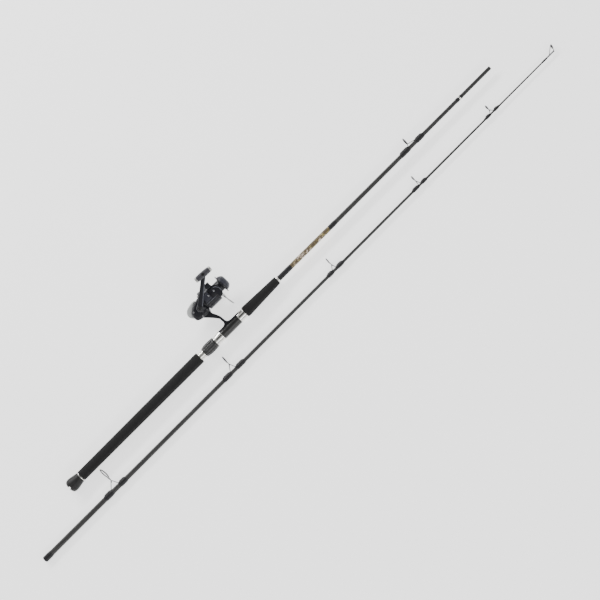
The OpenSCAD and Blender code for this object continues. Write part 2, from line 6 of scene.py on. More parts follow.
import bmesh
import bpy
from mathutils import Matrix, Vector


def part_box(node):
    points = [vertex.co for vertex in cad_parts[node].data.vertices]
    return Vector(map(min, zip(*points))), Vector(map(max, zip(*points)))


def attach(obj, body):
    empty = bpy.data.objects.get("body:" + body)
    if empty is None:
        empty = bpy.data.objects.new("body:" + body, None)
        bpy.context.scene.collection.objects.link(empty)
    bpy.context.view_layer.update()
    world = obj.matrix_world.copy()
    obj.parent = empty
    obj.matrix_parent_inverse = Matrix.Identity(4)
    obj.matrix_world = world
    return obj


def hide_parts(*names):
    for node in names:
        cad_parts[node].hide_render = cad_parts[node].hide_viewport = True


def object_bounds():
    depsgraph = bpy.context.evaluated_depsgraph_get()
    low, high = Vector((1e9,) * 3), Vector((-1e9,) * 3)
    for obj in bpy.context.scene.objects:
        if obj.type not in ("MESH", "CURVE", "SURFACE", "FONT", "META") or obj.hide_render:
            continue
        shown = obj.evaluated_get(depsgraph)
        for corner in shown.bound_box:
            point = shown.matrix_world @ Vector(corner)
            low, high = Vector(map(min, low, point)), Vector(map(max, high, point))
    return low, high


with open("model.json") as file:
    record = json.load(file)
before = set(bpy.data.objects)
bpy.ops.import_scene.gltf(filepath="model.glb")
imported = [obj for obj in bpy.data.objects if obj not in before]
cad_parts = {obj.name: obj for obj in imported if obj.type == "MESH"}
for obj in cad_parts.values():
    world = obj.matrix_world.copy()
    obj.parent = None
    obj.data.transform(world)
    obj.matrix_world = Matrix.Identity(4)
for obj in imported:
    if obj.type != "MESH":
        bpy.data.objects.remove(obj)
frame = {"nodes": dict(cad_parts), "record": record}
cad_low, cad_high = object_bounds()

MM = 0.001
TURN = 2 * math.pi
joints = {j["name"]: j for j in frame["record"]["behaviour"]["joints"]}


# ---------------------------------------------------------------- local frames

def middle(node):
    low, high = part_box(node)
    return (Vector(low) + Vector(high)) / 2


def local_frame(origin, up):
    """Matrix from local millimetres to the row frame, with local z along up and local x along the rod."""
    z = Vector(up).normalized()
    x = Vector((1, 0, 0))
    y = z.cross(x)
    m = Matrix((x, y, z)).transposed().to_4x4()
    m.translation = Vector(origin)
    return m @ Matrix.Scale(MM, 4)


def shifted(base, x=0.0, y=0.0, z=0.0, turn=0.0, axis="Z"):
    """A local frame moved by millimetres and then turned by degrees about one of its axes."""
    return base @ Matrix.Translation((x, y, z)) @ Matrix.Rotation(math.radians(turn), 4, axis)


CRANK_UP = Vector(joints["crank_turn"]["axis"])
rod_axis = middle("cap_ring")
BUTT = local_frame((0, rod_axis.y, rod_axis.z), CRANK_UP)
tip_axis = middle("tip_blank")
TIP_AXIS = Vector((0, tip_axis.y, tip_axis.z))
ring_side = middle("tip_top_ring") - TIP_AXIS
ring_side.x = 0
TIP = local_frame(TIP_AXIS, Vector((1, 0, 0)).cross(ring_side))


def in_butt(point):
    """Row frame metres to the butt section's local millimetres."""
    return BUTT.inverted() @ Vector(point)


crank_at = in_butt(joints["crank_turn"]["pos_m"])
shaft_at = in_butt(joints["rotor_turn"]["pos_m"])
bail_at = in_butt(joints["bail_flip"]["pos_m"])
knob_at = in_butt(joints["handle_turn"]["pos_m"])
SHAFT = shifted(BUTT, 0, shaft_at.y, 0)
BAIL = shifted(BUTT, bail_at.x, bail_at.y, 0)
CRANK_ANGLE = math.degrees(math.atan2(knob_at.y - crank_at.y, knob_at.x - crank_at.x))
CRANK = shifted(BUTT, crank_at.x, crank_at.y, 0, CRANK_ANGLE)
CRANK_LEN = math.hypot(knob_at.y - crank_at.y, knob_at.x - crank_at.x)
KNOB = shifted(BUTT, knob_at.x, knob_at.y, knob_at.z, -4)


# ---------------------------------------------------------------- mesh helpers

def face_outwards(mesh):
    work = bmesh.new()
    work.from_mesh(mesh)
    bmesh.ops.recalc_face_normals(work, faces=work.faces)
    work.to_mesh(mesh)
    work.free()


def mesh_piece(name, part, base, material, body, smooth=35):
    """A mesh piece from a (verts, faces) solid in local millimetres, riding on a body."""
    verts, faces = part
    mesh = bpy.data.meshes.new(name)
    mesh.from_pydata([base @ Vector(v) for v in verts], [], faces)
    mesh.validate()
    face_outwards(mesh)
    mesh.update()
    for polygon in mesh.polygons:
        polygon.use_smooth = True
    mesh.set_sharp_from_angle(angle=math.radians(smooth))
    piece = bpy.data.objects.new(name, mesh)
    bpy.context.scene.collection.objects.link(piece)
    piece.data.materials.append(material)
    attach(piece, body)
    return piece


def rounded(points, radius, steps=3, closed=True):
    """The outline with each corner cut back by radius and replaced by a short curve."""
    out = []
    count = len(points)
    for i, corner in enumerate(points):
        corner = Vector(corner)
        if not closed and i in (0, count - 1):
            out.append(tuple(corner))
            continue
        before = Vector(points[i - 1])
        after = Vector(points[(i + 1) % count])
        cut_in = min(radius, (before - corner).length * 0.45)
        cut_out = min(radius, (after - corner).length * 0.45)
        start = corner + (before - corner).normalized() * cut_in
        end = corner + (after - corner).normalized() * cut_out
        for k in range(steps + 1):
            t = k / steps
            out.append(tuple(start * (1 - t) ** 2 + corner * 2 * t * (1 - t) + end * t * t))
    return out


def spline(p0, p1, p2, p3, t):
    """Point at t, from 0 to 1, of the smooth curve from p1 to p2 that looks back to p0 and on to p3."""
    return 0.5 * (2 * p1 + (p2 - p0) * t + (2 * p0 - 5 * p1 + 4 * p2 - p3) * t * t
                  + (3 * p1 - p0 - 3 * p2 + p3) * t ** 3)


def curve_through(points, steps=4):
    """A closed smooth outline through the points."""
    out = []
    count = len(points)
    for i in range(count):
        p0, p1, p2, p3 = (Vector(points[(i + k - 1) % count]) for k in range(4))
        out += [tuple(spline(p0, p1, p2, p3, k / steps)) for k in range(steps)]
    return out


def lathe_data(profile, segments, shape=None):
    """Vertices and faces of a closed profile of (x, radius) turned about x.
    shape(x, radius, angle) may change the radius; angle 0 is towards local y."""
    verts = []
    faces = []
    rows = []
    for x, r in profile:
        if r < 1e-4:
            rows.append([len(verts)])
            verts.append((x, 0, 0))
            continue
        rows.append([len(verts) + k for k in range(segments)])
        for k in range(segments):
            angle = TURN * k / segments
            radius = shape(x, r, angle) if shape else r
            verts.append((x, radius * math.cos(angle), radius * math.sin(angle)))
    for a, b in zip(rows, rows[1:] + rows[:1]):
        if len(a) == 1 and len(b) == 1:
            continue
        for k in range(segments):
            n = (k + 1) % segments
            if len(a) == 1:
                faces.append((a[0], b[n], b[k]))
            elif len(b) == 1:
                faces.append((a[k], a[n], b[0]))
            else:
                faces.append((a[k], a[n], b[n], b[k]))
    return verts, faces


def lathe(name, profile, base, material, body, segments=64, smooth=35, shape=None):
    """A turned solid about local x from a closed profile of (x, radius)."""
    return mesh_piece(name, lathe_data(profile, segments, shape), base, material, body, smooth)


def loft_data(rings):
    """Vertices and faces of a solid through rings of equal length, with flat ends."""
    verts = [p for ring in rings for p in ring]
    size = len(rings[0])
    last = (len(rings) - 1) * size
    faces = [tuple(reversed(range(size)))]
    for row in range(0, last, size):
        for k in range(size):
            n = (k + 1) % size
            faces.append((row + k, row + n, row + size + n, row + size + k))
    faces.append(tuple(range(last, last + size)))
    return verts, faces


def inset(outline, amount):
    """The outline moved inwards by an amount, corner by corner."""
    area = sum(a[0] * b[1] - b[0] * a[1] for a, b in zip(outline, outline[1:] + outline[:1]))
    side = 1 if area > 0 else -1
    out = []
    count = len(outline)
    for i in range(count):
        p = Vector(outline[i])
        a = (p - Vector(outline[i - 1])).normalized()
        b = (Vector(outline[(i + 1) % count]) - p).normalized()
        na = Vector((-a.y, a.x)) * side
        nb = Vector((-b.y, b.x)) * side
        n = (na + nb).normalized()
        out.append(tuple(p + n * amount / max(0.5, n.dot(na))))
    return out


def slab_rings(outline, low, high, round_low=0.0, round_high=0.0, steps=4):
    """Rings of a slab between two heights, with rounded lower and upper edges."""
    quarter = [math.pi / 2 * k / steps for k in range(steps + 1)]
    rings = [[(x, y, low) for x, y in outline]]
    if round_low > 0:
        rings = [[(x, y, low + round_low * (1 - math.cos(a)))
                  for x, y in inset(outline, round_low * (1 - math.sin(a)))] for a in quarter]
    if round_high > 0:
        rings += [[(x, y, high - round_high * (1 - math.sin(a)))
                   for x, y in inset(outline, round_high * (1 - math.cos(a)))] for a in quarter]
    else:
        rings.append([(x, y, high) for x, y in outline])
    return rings


def tube_rings(path, radius, sides=16, flat=1.0):
    """Rings of a round bar along a path of local points. flat squeezes it along its second cross axis."""
    points = [Vector(p) for p in path]
    tangents = [(after - before).normalized()
                for before, after in zip(points[:1] + points, points[1:] + points[-1:])]
    side = tangents[0].orthogonal().normalized()
    if abs(tangents[0].z) < 0.9:
        side = (Vector((0, 0, 1)) - tangents[0] * tangents[0].z).normalized()
    rings = []
    for p, t in zip(points, tangents):
        side = (side - t * side.dot(t)).normalized()
        other = t.cross(side)
        ring = []
        for k in range(sides):
            a = TURN * k / sides
            ring.append(tuple(p + side * radius * math.cos(a) + other * radius * flat * math.sin(a)))
        rings.append(ring)
    return rings


def bend(path, steps=6):
    """An open smooth path through points."""
    points = [Vector(p) for p in path]
    points = [2 * points[0] - points[1]] + points + [2 * points[-1] - points[-2]]
    out = []
    for i in range(1, len(points) - 2):
        out += [spline(*points[i - 1:i + 3], k / steps) for k in range(steps)]
    out.append(points[-2])
    return out


def bar(path, radius, sides, steps=6, flat=1.0):
    """A round bar, as (verts, faces), along a smooth path through points."""
    return loft_data(tube_rings(bend(path, steps), radius, sides, flat))


def spread(profile, step):
    """Adds points to a profile so that no stretch is longer than step."""
    out = [profile[0]]
    for a, b in zip(profile, profile[1:]):
        count = max(1, math.ceil(math.dist(a, b) / step))
        out += [(a[0] + (b[0] - a[0]) * k / count, a[1] + (b[1] - a[1]) * k / count)
                for k in range(1, count + 1)]
    return out


def fine_outline(points, radius, steps, step):
    """A closed outline with rounded corners and no stretch longer than step."""
    return spread(rounded(points, radius, steps) + [points[0]], step)[:-1]


def joined(name, parts, base, material, body, smooth=35):
    """Several (verts, faces) solids as one piece."""
    verts = []
    faces = []
    for part_verts, part_faces in parts:
        start = len(verts)
        verts += part_verts
        faces += [tuple(i + start for i in f) for f in part_faces]
    return mesh_piece(name, (verts, faces), base, material, body, smooth)


def moved(part, matrix):
    verts, faces = part
    return [tuple(matrix @ Vector(v)) for v in verts], faces


def loose_solid(part, base):
    """A plain object from a (verts, faces) solid, for cutting."""
    verts, faces = part
    mesh = bpy.data.meshes.new("solid")
    mesh.from_pydata([base @ Vector(v) for v in verts], [], faces)
    face_outwards(mesh)
    solid = bpy.data.objects.new("solid", mesh)
    bpy.context.scene.collection.objects.link(solid)
    return solid


def carve(piece, part, base):
    """Cuts a (verts, faces) solid out of a piece."""
    cutter = loose_solid(part, base)
    modifier = piece.modifiers.new("cut", "BOOLEAN")
    modifier.object = cutter
    modifier.operation = "DIFFERENCE"
    modifier.solver = "EXACT"
    bpy.context.view_layer.update()
    graph = bpy.context.evaluated_depsgraph_get()
    result = bpy.data.meshes.new_from_object(piece.evaluated_get(graph))
    piece.modifiers.remove(modifier)
    piece.data = result
    bpy.data.objects.remove(cutter)
    result.set_sharp_from_angle(angle=math.radians(35))


def hollowed(part, *cutters):
    """A (verts, faces) solid with others cut out of it."""
    solid = loose_solid(part, Matrix())
    for cutter in cutters:
        carve(solid, cutter, Matrix())
    data = [tuple(v.co) for v in solid.data.vertices], [tuple(p.vertices) for p in solid.data.polygons]
    bpy.data.objects.remove(solid)
    return data


def circle_outline(radius, count, x, y):
    return [(x + radius * math.cos(TURN * k / count), y + radius * math.sin(TURN * k / count))
            for k in range(count)]


# ---------------------------------------------------------------- materials

class Shader:
    """A material with a Principled shader and short calls for the nodes that feed it."""

    def __init__(self, name, color, rough=0.5, metal=0.0, coat=0.0, coat_rough=0.05, specular=0.5):
        self.material = bpy.data.materials.new(name)
        self.material.use_nodes = True
        self.tree = self.material.node_tree
        self.shader = self.tree.nodes["Principled BSDF"]
        self.shader.inputs["Base Color"].default_value = (*color, 1)
        self.shader.inputs["Roughness"].default_value = rough
        self.shader.inputs["Metallic"].default_value = metal
        self.shader.inputs["Coat Weight"].default_value = coat
        self.shader.inputs["Coat Roughness"].default_value = coat_rough
        self.shader.inputs["Specular IOR Level"].default_value = specular
        self.coord = self.node("ShaderNodeTexCoord").outputs["Object"]

    def node(self, kind, **inputs):
        node = self.tree.nodes.new(kind)
        for key, value in inputs.items():
            socket = node.inputs[key.replace("_", " ")]
            if hasattr(value, "is_linked"):
                self.tree.links.new(value, socket)
            else:
                socket.default_value = value
        return node

    def scaled(self, scale):
        mapping = self.node("ShaderNodeMapping", Vector=self.coord)
        mapping.inputs["Scale"].default_value = scale
        return mapping.outputs["Vector"]

    def noise(self, scale, detail=3.0, rough=0.5, stretch=(1, 1, 1)):
        return self.node("ShaderNodeTexNoise", Vector=self.scaled(stretch), Scale=scale, Detail=detail,
                         Roughness=rough).outputs["Fac"]

    def bands(self, scale):
        wave = self.node("ShaderNodeTexWave", Vector=self.coord, Scale=scale)
        wave.bands_direction = "X"
        return wave.outputs["Fac"]

    def ramp(self, value, stops, constant=False):
        ramp = self.node("ShaderNodeValToRGB", Fac=value)
        elements = ramp.color_ramp.elements
        while len(elements) < len(stops):
            elements.new(0.5)
        for element, (place, color) in zip(elements, stops):
            element.position = place
            element.color = (*color, 1)
        if constant:
            ramp.color_ramp.interpolation = "CONSTANT"
        return ramp.outputs["Color"]

    def mix(self, fac, a, b):
        mix = self.tree.nodes.new("ShaderNodeMix")
        mix.data_type = "RGBA"
        for index, value in ((0, fac), (6, a), (7, b)):
            socket = mix.inputs[index]
            if hasattr(value, "is_linked"):
                self.tree.links.new(value, socket)
            elif index == 0:
                socket.default_value = value
            else:
                socket.default_value = (*value, 1)
        return mix.outputs[2]

    def scale_range(self, value, low, high):
        return self.node("ShaderNodeMapRange", Value=value, To_Min=low, To_Max=high).outputs["Result"]

    def bump(self, height, distance, strength=1.0):
        before = self.shader.inputs["Normal"]
        node = self.node("ShaderNodeBump", Height=height, Distance=distance, Strength=strength)
        if before.is_linked:
            self.tree.links.new(before.links[0].from_socket, node.inputs["Normal"])
        self.tree.links.new(node.outputs["Normal"], before)

    def set(self, name, socket):
        self.tree.links.new(socket, self.shader.inputs[name])


def foam_material():
    s = Shader("foam", (0.01, 0.01, 0.01), rough=0.9, specular=0.2)
    cells = s.noise(1500, 3, 0.65)
    patches = s.noise(60, 3, 0.6)
    grain = s.ramp(cells, [(0.35, (0.009, 0.009, 0.009)), (0.7, (0.034, 0.034, 0.034))])
    s.set("Base Color", s.mix(s.scale_range(patches, 0, 0.5), grain, (0.018, 0.018, 0.0185)))
    s.set("Roughness", s.scale_range(patches, 0.8, 0.95))
    s.shader.inputs["Sheen Weight"].default_value = 0.03
    s.shader.inputs["Sheen Roughness"].default_value = 0.5
    s.bump(cells, 0.00012, 0.6)
    return s.material


def rubber_material():
    s = Shader("rubber", (0.014, 0.014, 0.014), rough=0.5, specular=0.35)
    wear = s.noise(140, 4, 0.6)
    fine = s.noise(1800, 2)
    s.set("Base Color", s.ramp(wear, [(0.3, (0.009, 0.009, 0.009)), (0.8, (0.019, 0.0185, 0.018))]))
    s.set("Roughness", s.scale_range(wear, 0.4, 0.62))
    s.bump(fine, 0.00006, 0.4)
    return s.material


def seat_material():
    s = Shader("seat_plastic", (0.02, 0.02, 0.02), rough=0.35, coat=0.25, coat_rough=0.15, specular=0.4)
    fibre = s.noise(300, 3, 0.6, (0.1, 1, 1))
    s.set("Base Color", s.ramp(fibre, [(0.3, (0.013, 0.013, 0.013)), (0.75, (0.030, 0.030, 0.029))]))
    s.set("Roughness", s.scale_range(fibre, 0.3, 0.45))
    s.bump(s.noise(900, 2), 0.00003, 0.3)
    return s.material


def blank_material():
    s = Shader("blank", (0.05, 0.05, 0.05), rough=0.36, specular=0.25)
    fibre = s.noise(500, 3, 0.6, (0.06, 1, 1))
    cloud = s.noise(30, 2)
    s.set("Base Color", s.mix(s.scale_range(cloud, 0, 0.4),
                              s.ramp(fibre, [(0.3, (0.022, 0.022, 0.022)), (0.75, (0.065, 0.065, 0.063))]),
                              (0.04, 0.04, 0.039)))
    s.set("Roughness", s.scale_range(cloud, 0.3, 0.45))
    s.bump(s.bands(180), 0.00004, 0.25)
    return s.material


def metal_material(name, color, low, high, dark=0.75):
    """Turned metal: fine rings round x, smudges and slightly darker patches."""
    s = Shader(name, color, rough=low, metal=1.0)
    rings = s.noise(900, 2, 0.5, (1, 0.02, 0.02))
    smudge = s.noise(90, 4, 0.6)
    s.set("Base Color", s.mix(s.scale_range(smudge, 0, 0.6), color, tuple(c * dark for c in color)))
    s.set("Roughness", s.scale_range(smudge, low, high))
    s.bump(rings, 0.00002, 0.35)
    return s.material


def label_material():
    """Generic mottled panel in olive, tan and brown."""
    s = Shader("label", (0.4, 0.33, 0.22), rough=0.32, specular=0.2)
    patches = s.noise(75, 2, 0.5, (0.6, 1, 1))
    marks = s.noise(190, 3, 0.6)
    base = s.ramp(patches, [(0.0, (0.10, 0.075, 0.045)), (0.38, (0.34, 0.28, 0.11)),
                            (0.46, (0.55, 0.45, 0.30)), (0.53, (0.80, 0.67, 0.57)),
                            (0.63, (0.24, 0.18, 0.10))], True)
    s.set("Base Color", s.mix(s.ramp(marks, [(0.42, (0, 0, 0)), (0.5, (1, 1, 1))]), base, (0.13, 0.10, 0.06)))
    s.set("Roughness", s.scale_range(marks, 0.28, 0.42))
    s.bump(marks, 0.00002, 0.2)
    return s.material


def thread_material():
    """Close turns of dark thread."""
    color = (0.008, 0.008, 0.009)
    s = Shader("thread", color, rough=0.36, specular=0.25)
    turns = s.bands(1200)
    s.set("Base Color", s.ramp(turns, [(0.2, color), (0.9, (0.030, 0.030, 0.032))]))
    s.set("Roughness", s.scale_range(s.noise(200, 2), 0.3, 0.5))
    s.bump(turns, 0.00006, 0.5)
    return s.material


def paint_material(name, dark, light, rough, coat):
    """Sprayed paint with a fine flake and faint orange peel."""
    s = Shader(name, dark, rough=rough, coat=coat, coat_rough=0.14, specular=0.3)
    flakes = s.noise(2200, 2, 0.7)
    cloud = s.noise(45, 3)
    s.set("Base Color", s.mix(s.scale_range(cloud, 0, 0.35), s.ramp(flakes, [(0.35, dark), (0.75, light)]),
                              dark))
    s.set("Roughness", s.scale_range(cloud, rough * 0.85, rough * 1.3))
    s.bump(s.noise(420, 2), 0.00003, 0.25)
    return s.material


def plastic_material(name, dark, light, rough):
    s = Shader(name, dark, rough=rough)
    grain = s.noise(1500, 3, 0.6)
    rub = s.noise(110, 4, 0.6)
    s.set("Base Color", s.mix(s.scale_range(rub, 0, 0.5), s.ramp(grain, [(0.3, dark), (0.8, light)]), dark))
    s.set("Roughness", s.scale_range(rub, rough * 0.8, rough * 1.2))
    s.bump(grain, 0.00005, 0.35)
    return s.material


FOAM = foam_material()
RUBBER = rubber_material()
SEAT = seat_material()
BLANK = blank_material()
SILVER = metal_material("silver", (0.92, 0.91, 0.87), 0.09, 0.15, dark=0.88)
STEEL = metal_material("steel", (0.62, 0.63, 0.65), 0.22, 0.38)
GUIDE = metal_material("guide_steel", (0.24, 0.245, 0.25), 0.28, 0.42)
WIRE = metal_material("wire", (0.46, 0.465, 0.47), 0.3, 0.42)
BRASS = metal_material("brass", (0.70, 0.53, 0.24), 0.25, 0.42)
LABEL = label_material()
THREAD = thread_material()
CERAMIC = paint_material("guide_ring", (0.018, 0.018, 0.020), (0.030, 0.030, 0.034), 0.2, 0.15)
REEL = paint_material("reel_paint", (0.005, 0.0053, 0.0078), (0.019, 0.020, 0.028), 0.4, 0.12)
REEL_LIGHT = paint_material("reel_plastic", (0.022, 0.023, 0.032), (0.052, 0.055, 0.072), 0.42, 0.15)
# Lighter copy of the reel paint for thin bars that stand in for highlights along edges: painted highlight.
REEL_PAINTED_HIGHLIGHT = paint_material("reel_painted_highlight", (0.085, 0.088, 0.11), (0.14, 0.145, 0.175), 0.4, 0.1)
CAP_METAL = metal_material("cap_metal", (0.40, 0.40, 0.39), 0.34, 0.46)
PALE = paint_material("pale_cover", (0.50, 0.515, 0.51), (0.66, 0.67, 0.66), 0.34, 0.5)
KNOB_RUBBER = plastic_material("knob_rubber", (0.022, 0.021, 0.028), (0.045, 0.044, 0.056), 0.55)
DARK_SCREW = plastic_material("dark_screw", (0.005, 0.005, 0.006), (0.012, 0.012, 0.014), 0.4)

SLOT_LOOK = {
    "rubber": RUBBER, "foam": FOAM, "seat_plastic": SEAT, "blank": BLANK, "silver": SILVER, "label": LABEL,
    "thread": THREAD, "guide_steel": GUIDE, "guide_ring": CERAMIC, "reel_paint": REEL,
    "reel_plastic": REEL_LIGHT, "pale_cover": PALE, "steel": STEEL, "brass": BRASS, "wire": WIRE,
    "knob_rubber": KNOB_RUBBER, "dark_screw": DARK_SCREW,
}
for part in frame["record"]["subparts"]:
    node = frame["nodes"][part["node"]]
    node.data.materials.clear()
    node.data.materials.append(SLOT_LOOK[part["material_slot"]])

# ---------------------------------------------------------------- camera, light, floor

VIEW_CENTRE = (5.9, -70.8, 0)
CAMERA_AWAY = 3000
VIEW_WIDTH = 1412
SENSOR = 36
FLOOR_GLOW = 1.4
FLOOR_HALF = 30


def make_camera():
    """Looks straight down on the rod, turned so that it runs up the picture from left to right."""
    n = CRANK_UP.normalized()
    x = Vector((1, 0, 0))
    y = n.cross(x)
    right = (x - y).normalized()
    up = (x + y).normalized()
    place = Matrix((right, up, n)).transposed().to_4x4()
    place.translation = (BUTT @ Vector(VIEW_CENTRE)) + n * CAMERA_AWAY * MM
    data = bpy.data.cameras.new("camera")
    data.sensor_width = SENSOR
    data.lens = SENSOR * CAMERA_AWAY / VIEW_WIDTH
    data.clip_end = 50
    camera = bpy.data.objects.new("camera", data)
    camera.matrix_world = place
    bpy.context.scene.collection.objects.link(camera)
    bpy.context.scene.camera = camera


def make_floor():
    mesh = bpy.data.meshes.new("floor")
    corners = [(x * FLOOR_HALF, y * FLOOR_HALF, cad_low.z) for x, y in ((-1, -1), (1, -1), (1, 1), (-1, 1))]
    mesh.from_pydata(corners, [], [(0, 1, 2, 3)])
    floor = bpy.data.objects.new("floor", mesh)
    bpy.context.scene.collection.objects.link(floor)
    s = Shader("floor", (0.9, 0.9, 0.9), rough=0.9, specular=0.1)
    s.shader.inputs["Emission Color"].default_value = (1, 1, 1, 1)
    s.shader.inputs["Emission Strength"].default_value = FLOOR_GLOW
    s.set("Base Color", s.ramp(s.noise(3, 2), [(0.3, (0.90, 0.90, 0.90)), (0.7, (0.92, 0.92, 0.92))]))
    mesh.materials.append(s.material)


def area_light(name, place, target, size, power, size_y):
    data = bpy.data.lights.new(name, "AREA")
    data.shape = "RECTANGLE"
    data.size = size
    data.size_y = size_y
    data.energy = power
    light = bpy.data.objects.new(name, data)
    light.location = place
    light.rotation_euler = (Vector(target) - Vector(place)).to_track_quat("-Z", "Y").to_euler()
    bpy.context.scene.collection.objects.link(light)


def make_lights():
    """A pale tent, darker overhead, a long key light on the reel side and a weaker fill across from it."""
    world = bpy.data.worlds.new("studio")
    world.use_nodes = True
    tree = world.node_tree
    coord = tree.nodes.new("ShaderNodeTexCoord")
    height = tree.nodes.new("ShaderNodeSeparateXYZ")
    ramp = tree.nodes.new("ShaderNodeValToRGB")
    ramp.color_ramp.elements[0].position = 0.86
    ramp.color_ramp.elements[0].color = (1, 1, 1, 1)
    ramp.color_ramp.elements[1].position = 0.985
    ramp.color_ramp.elements[1].color = (0.08, 0.08, 0.08, 1)
    tree.links.new(coord.outputs["Generated"], height.inputs["Vector"])
    tree.links.new(height.outputs["Z"], ramp.inputs["Fac"])
    tree.links.new(ramp.outputs["Color"], tree.nodes["Background"].inputs["Color"])
    tree.nodes["Background"].inputs["Strength"].default_value = 0.75
    bpy.context.scene.world = world
    area_light("key", (-0.2, 2.9, 2.1), (-0.1, 0, 0), 2.6, 95, 0.5)
    area_light("fill", (0, -2.8, 2.0), (0, 0, 0), 4.0, 35, 0.5)


make_camera()
make_floor()
make_lights()

# ---------------------------------------------------------------- butt section

# Radii of the two blanks at one place each, and how much they lose for each millimetre forwards.
BLANK_R = 6.1
BLANK_R_AT = 6
BLANK_TAPER = 0.00243
SOCKET_R = 6.7
SOCKET_R_AT = -815
TIP_TAPER = 0.0031
BARE_WINDING = 0.5
END_WINDING = 0.6
FOOT_WINDING = 1.1
FOOT_SWELL = 1.7
FOOT_HALF_ANGLE = 58
HOOD_SWELL = 1.75
HOOD_HALF_ANGLE = 62


def butt_r(x):
    return BLANK_R - BLANK_TAPER * (x - BLANK_R_AT)


def tip_r(x):
    return SOCKET_R - TIP_TAPER * (x - SOCKET_R_AT)


def shell(points, bore, rounding, steps=3):
    """Closed profile from an outside line of (x, radius) points and the bore at its two ends."""
    return rounded([(points[0][0], bore[0])] + points + [(points[-1][0], bore[1])], rounding, steps, False)


def off_top(angle):
    """Degrees between a lathe's angle and local y."""
    return abs(math.degrees(math.atan2(math.sin(angle), math.cos(angle))))


def bulge(x, angle, x0, x1):
    """Extra radius over a guide's foot between x0 and x1, running out smoothly."""
    away = off_top(angle)
    if away >= FOOT_HALF_ANGLE or not x0 <= x <= x1:
        return 0
    run_out = 5
    along = min(1, (x - x0) / run_out, (x1 - x) / run_out)
    return FOOT_SWELL * math.cos(math.pi / 2 * away / FOOT_HALF_ANGLE) ** 2 * max(0, along)


def butt_cap():
    low, high = (in_butt(corner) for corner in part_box("butt_cap"))
    end = low.x
    cap_r = middle("butt_cap").z / MM
    front = high.x
    profile = rounded([(end, 0.01), (end, 9.5), (end + 3.2, 15.2), (end + 9, cap_r), (end + 15, cap_r - 0.2),
                       (end + 26, 14.9), (front - 3, 13.2), (front, 13.1), (front, butt_r(front))], 4.5, 6,
                       False)
    profile = spread(profile, 1.5)
    profile += [(end + 10.4, butt_r(front) + 0.03), (end + 10.4, 0.0)]
    profile[0] = (end, 0.0)
    groove_deep = 0.9

    def grooved(x, r, angle):
        if r < 10 or x > front - 2:
            return r
        along = min(1, max(0, (front - 2 - x) / 20))
        return r - groove_deep * along * abs(math.cos(2 * angle)) ** 40

    cap = lathe("butt_cap_shell", profile, BUTT, RUBBER, "butt_section", 192, 50, grooved)
    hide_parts("butt_cap")
    slot_half = 2.75
    slot_deep = 5.5
    for turn in (0, 90):
        verts = [(end + dx, dy, dz)
                 for dx in (-2, slot_deep) for dy in (-slot_half, slot_half) for dz in (-25, 25)]
        faces = [(0, 1, 3, 2), (4, 6, 7, 5), (0, 4, 5, 1), (2, 3, 7, 6), (0, 2, 6, 4), (1, 5, 7, 3)]
        carve(cap, moved((verts, faces), Matrix.Rotation(math.radians(turn), 4, "X")), BUTT)


def grips():
    rear = shell([(-650.6, 12.5), (-649.8, 13.0), (-257, 14.1), (-255.8, 13.2)],
                 (butt_r(-650), butt_r(-256)), 0.8)
    rear = [rear[0]] + spread(rear[1:-1], 12) + [rear[-1]]
    piece = lathe("rear_grip_foam", rear, BUTT, FOAM, "butt_section", 96)
    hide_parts("rear_grip")
    fore = shell([(-106.4, 12.5), (-104.5, 13.9), (-96, 13.9), (-72, 12.9), (-46, 11.9), (-8, 10.6),
                  (0.6, 10.2), (1.4, 9.4)], (butt_r(-106), butt_r(1.4)), 2.5, 4)
    piece = lathe("fore_grip_foam", fore, BUTT, FOAM, "butt_section", 96)
    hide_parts("fore_grip")


def blank_pieces():
    wall = 1.2
    end, front = -679.9, 614.8
    profile = [(end, butt_r(end) - wall), (end, butt_r(end)), (front - 0.3, butt_r(front)),
               (front, butt_r(front) - 0.3), (front, butt_r(front) - wall)]
    piece = lathe("butt_blank_tube", profile, BUTT, BLANK, "butt_section", 64)
    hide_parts("butt_blank")
    r = middle_radius("ferrule_spigot")
    low, high = (in_butt(corner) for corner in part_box("ferrule_spigot"))
    inner = butt_r(front) - wall - 0.03
    spigot = rounded([(low.x, 2.0), (low.x, inner), (front + 0.05, inner), (front + 0.05, r), (high.x, r),
                      (high.x, 2.0)], 0.6, 4, False)
    piece = lathe("ferrule_spigot_turned", spigot, BUTT, BLANK, "butt_section", 64)
    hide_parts("ferrule_spigot")


def middle_radius(node):
    """Radius of a round node that lies along x."""
    low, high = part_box(node)
    return (high[2] - low[2]) / 2 / MM


def trim_rings():
    """Metal rings that finish the grips and the blank."""
    ring = shell([(-652.6, 13.4), (-650.6, 13.4)], (butt_r(-652), butt_r(-651)), 0.4)
    piece = lathe("cap_ring_turned", ring, BUTT, SILVER, "butt_section", 96)
    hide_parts("cap_ring")
    check = shell([(1.4, 9.6), (2.6, 9.6), (5.9, 7.2)], (butt_r(1.4), butt_r(5.9)), 0.5)
    piece = lathe("winding_check_turned", check, BUTT, SILVER, "butt_section", 96)
    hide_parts("winding_check")
    trim = shell([(605.6, 5.5), (609.2, 5.5)], (5.26, 5.25), 0.4)
    piece = lathe("ferrule_trim_turned", trim, BUTT, SILVER, "butt_section", 64)
    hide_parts("ferrule_trim")


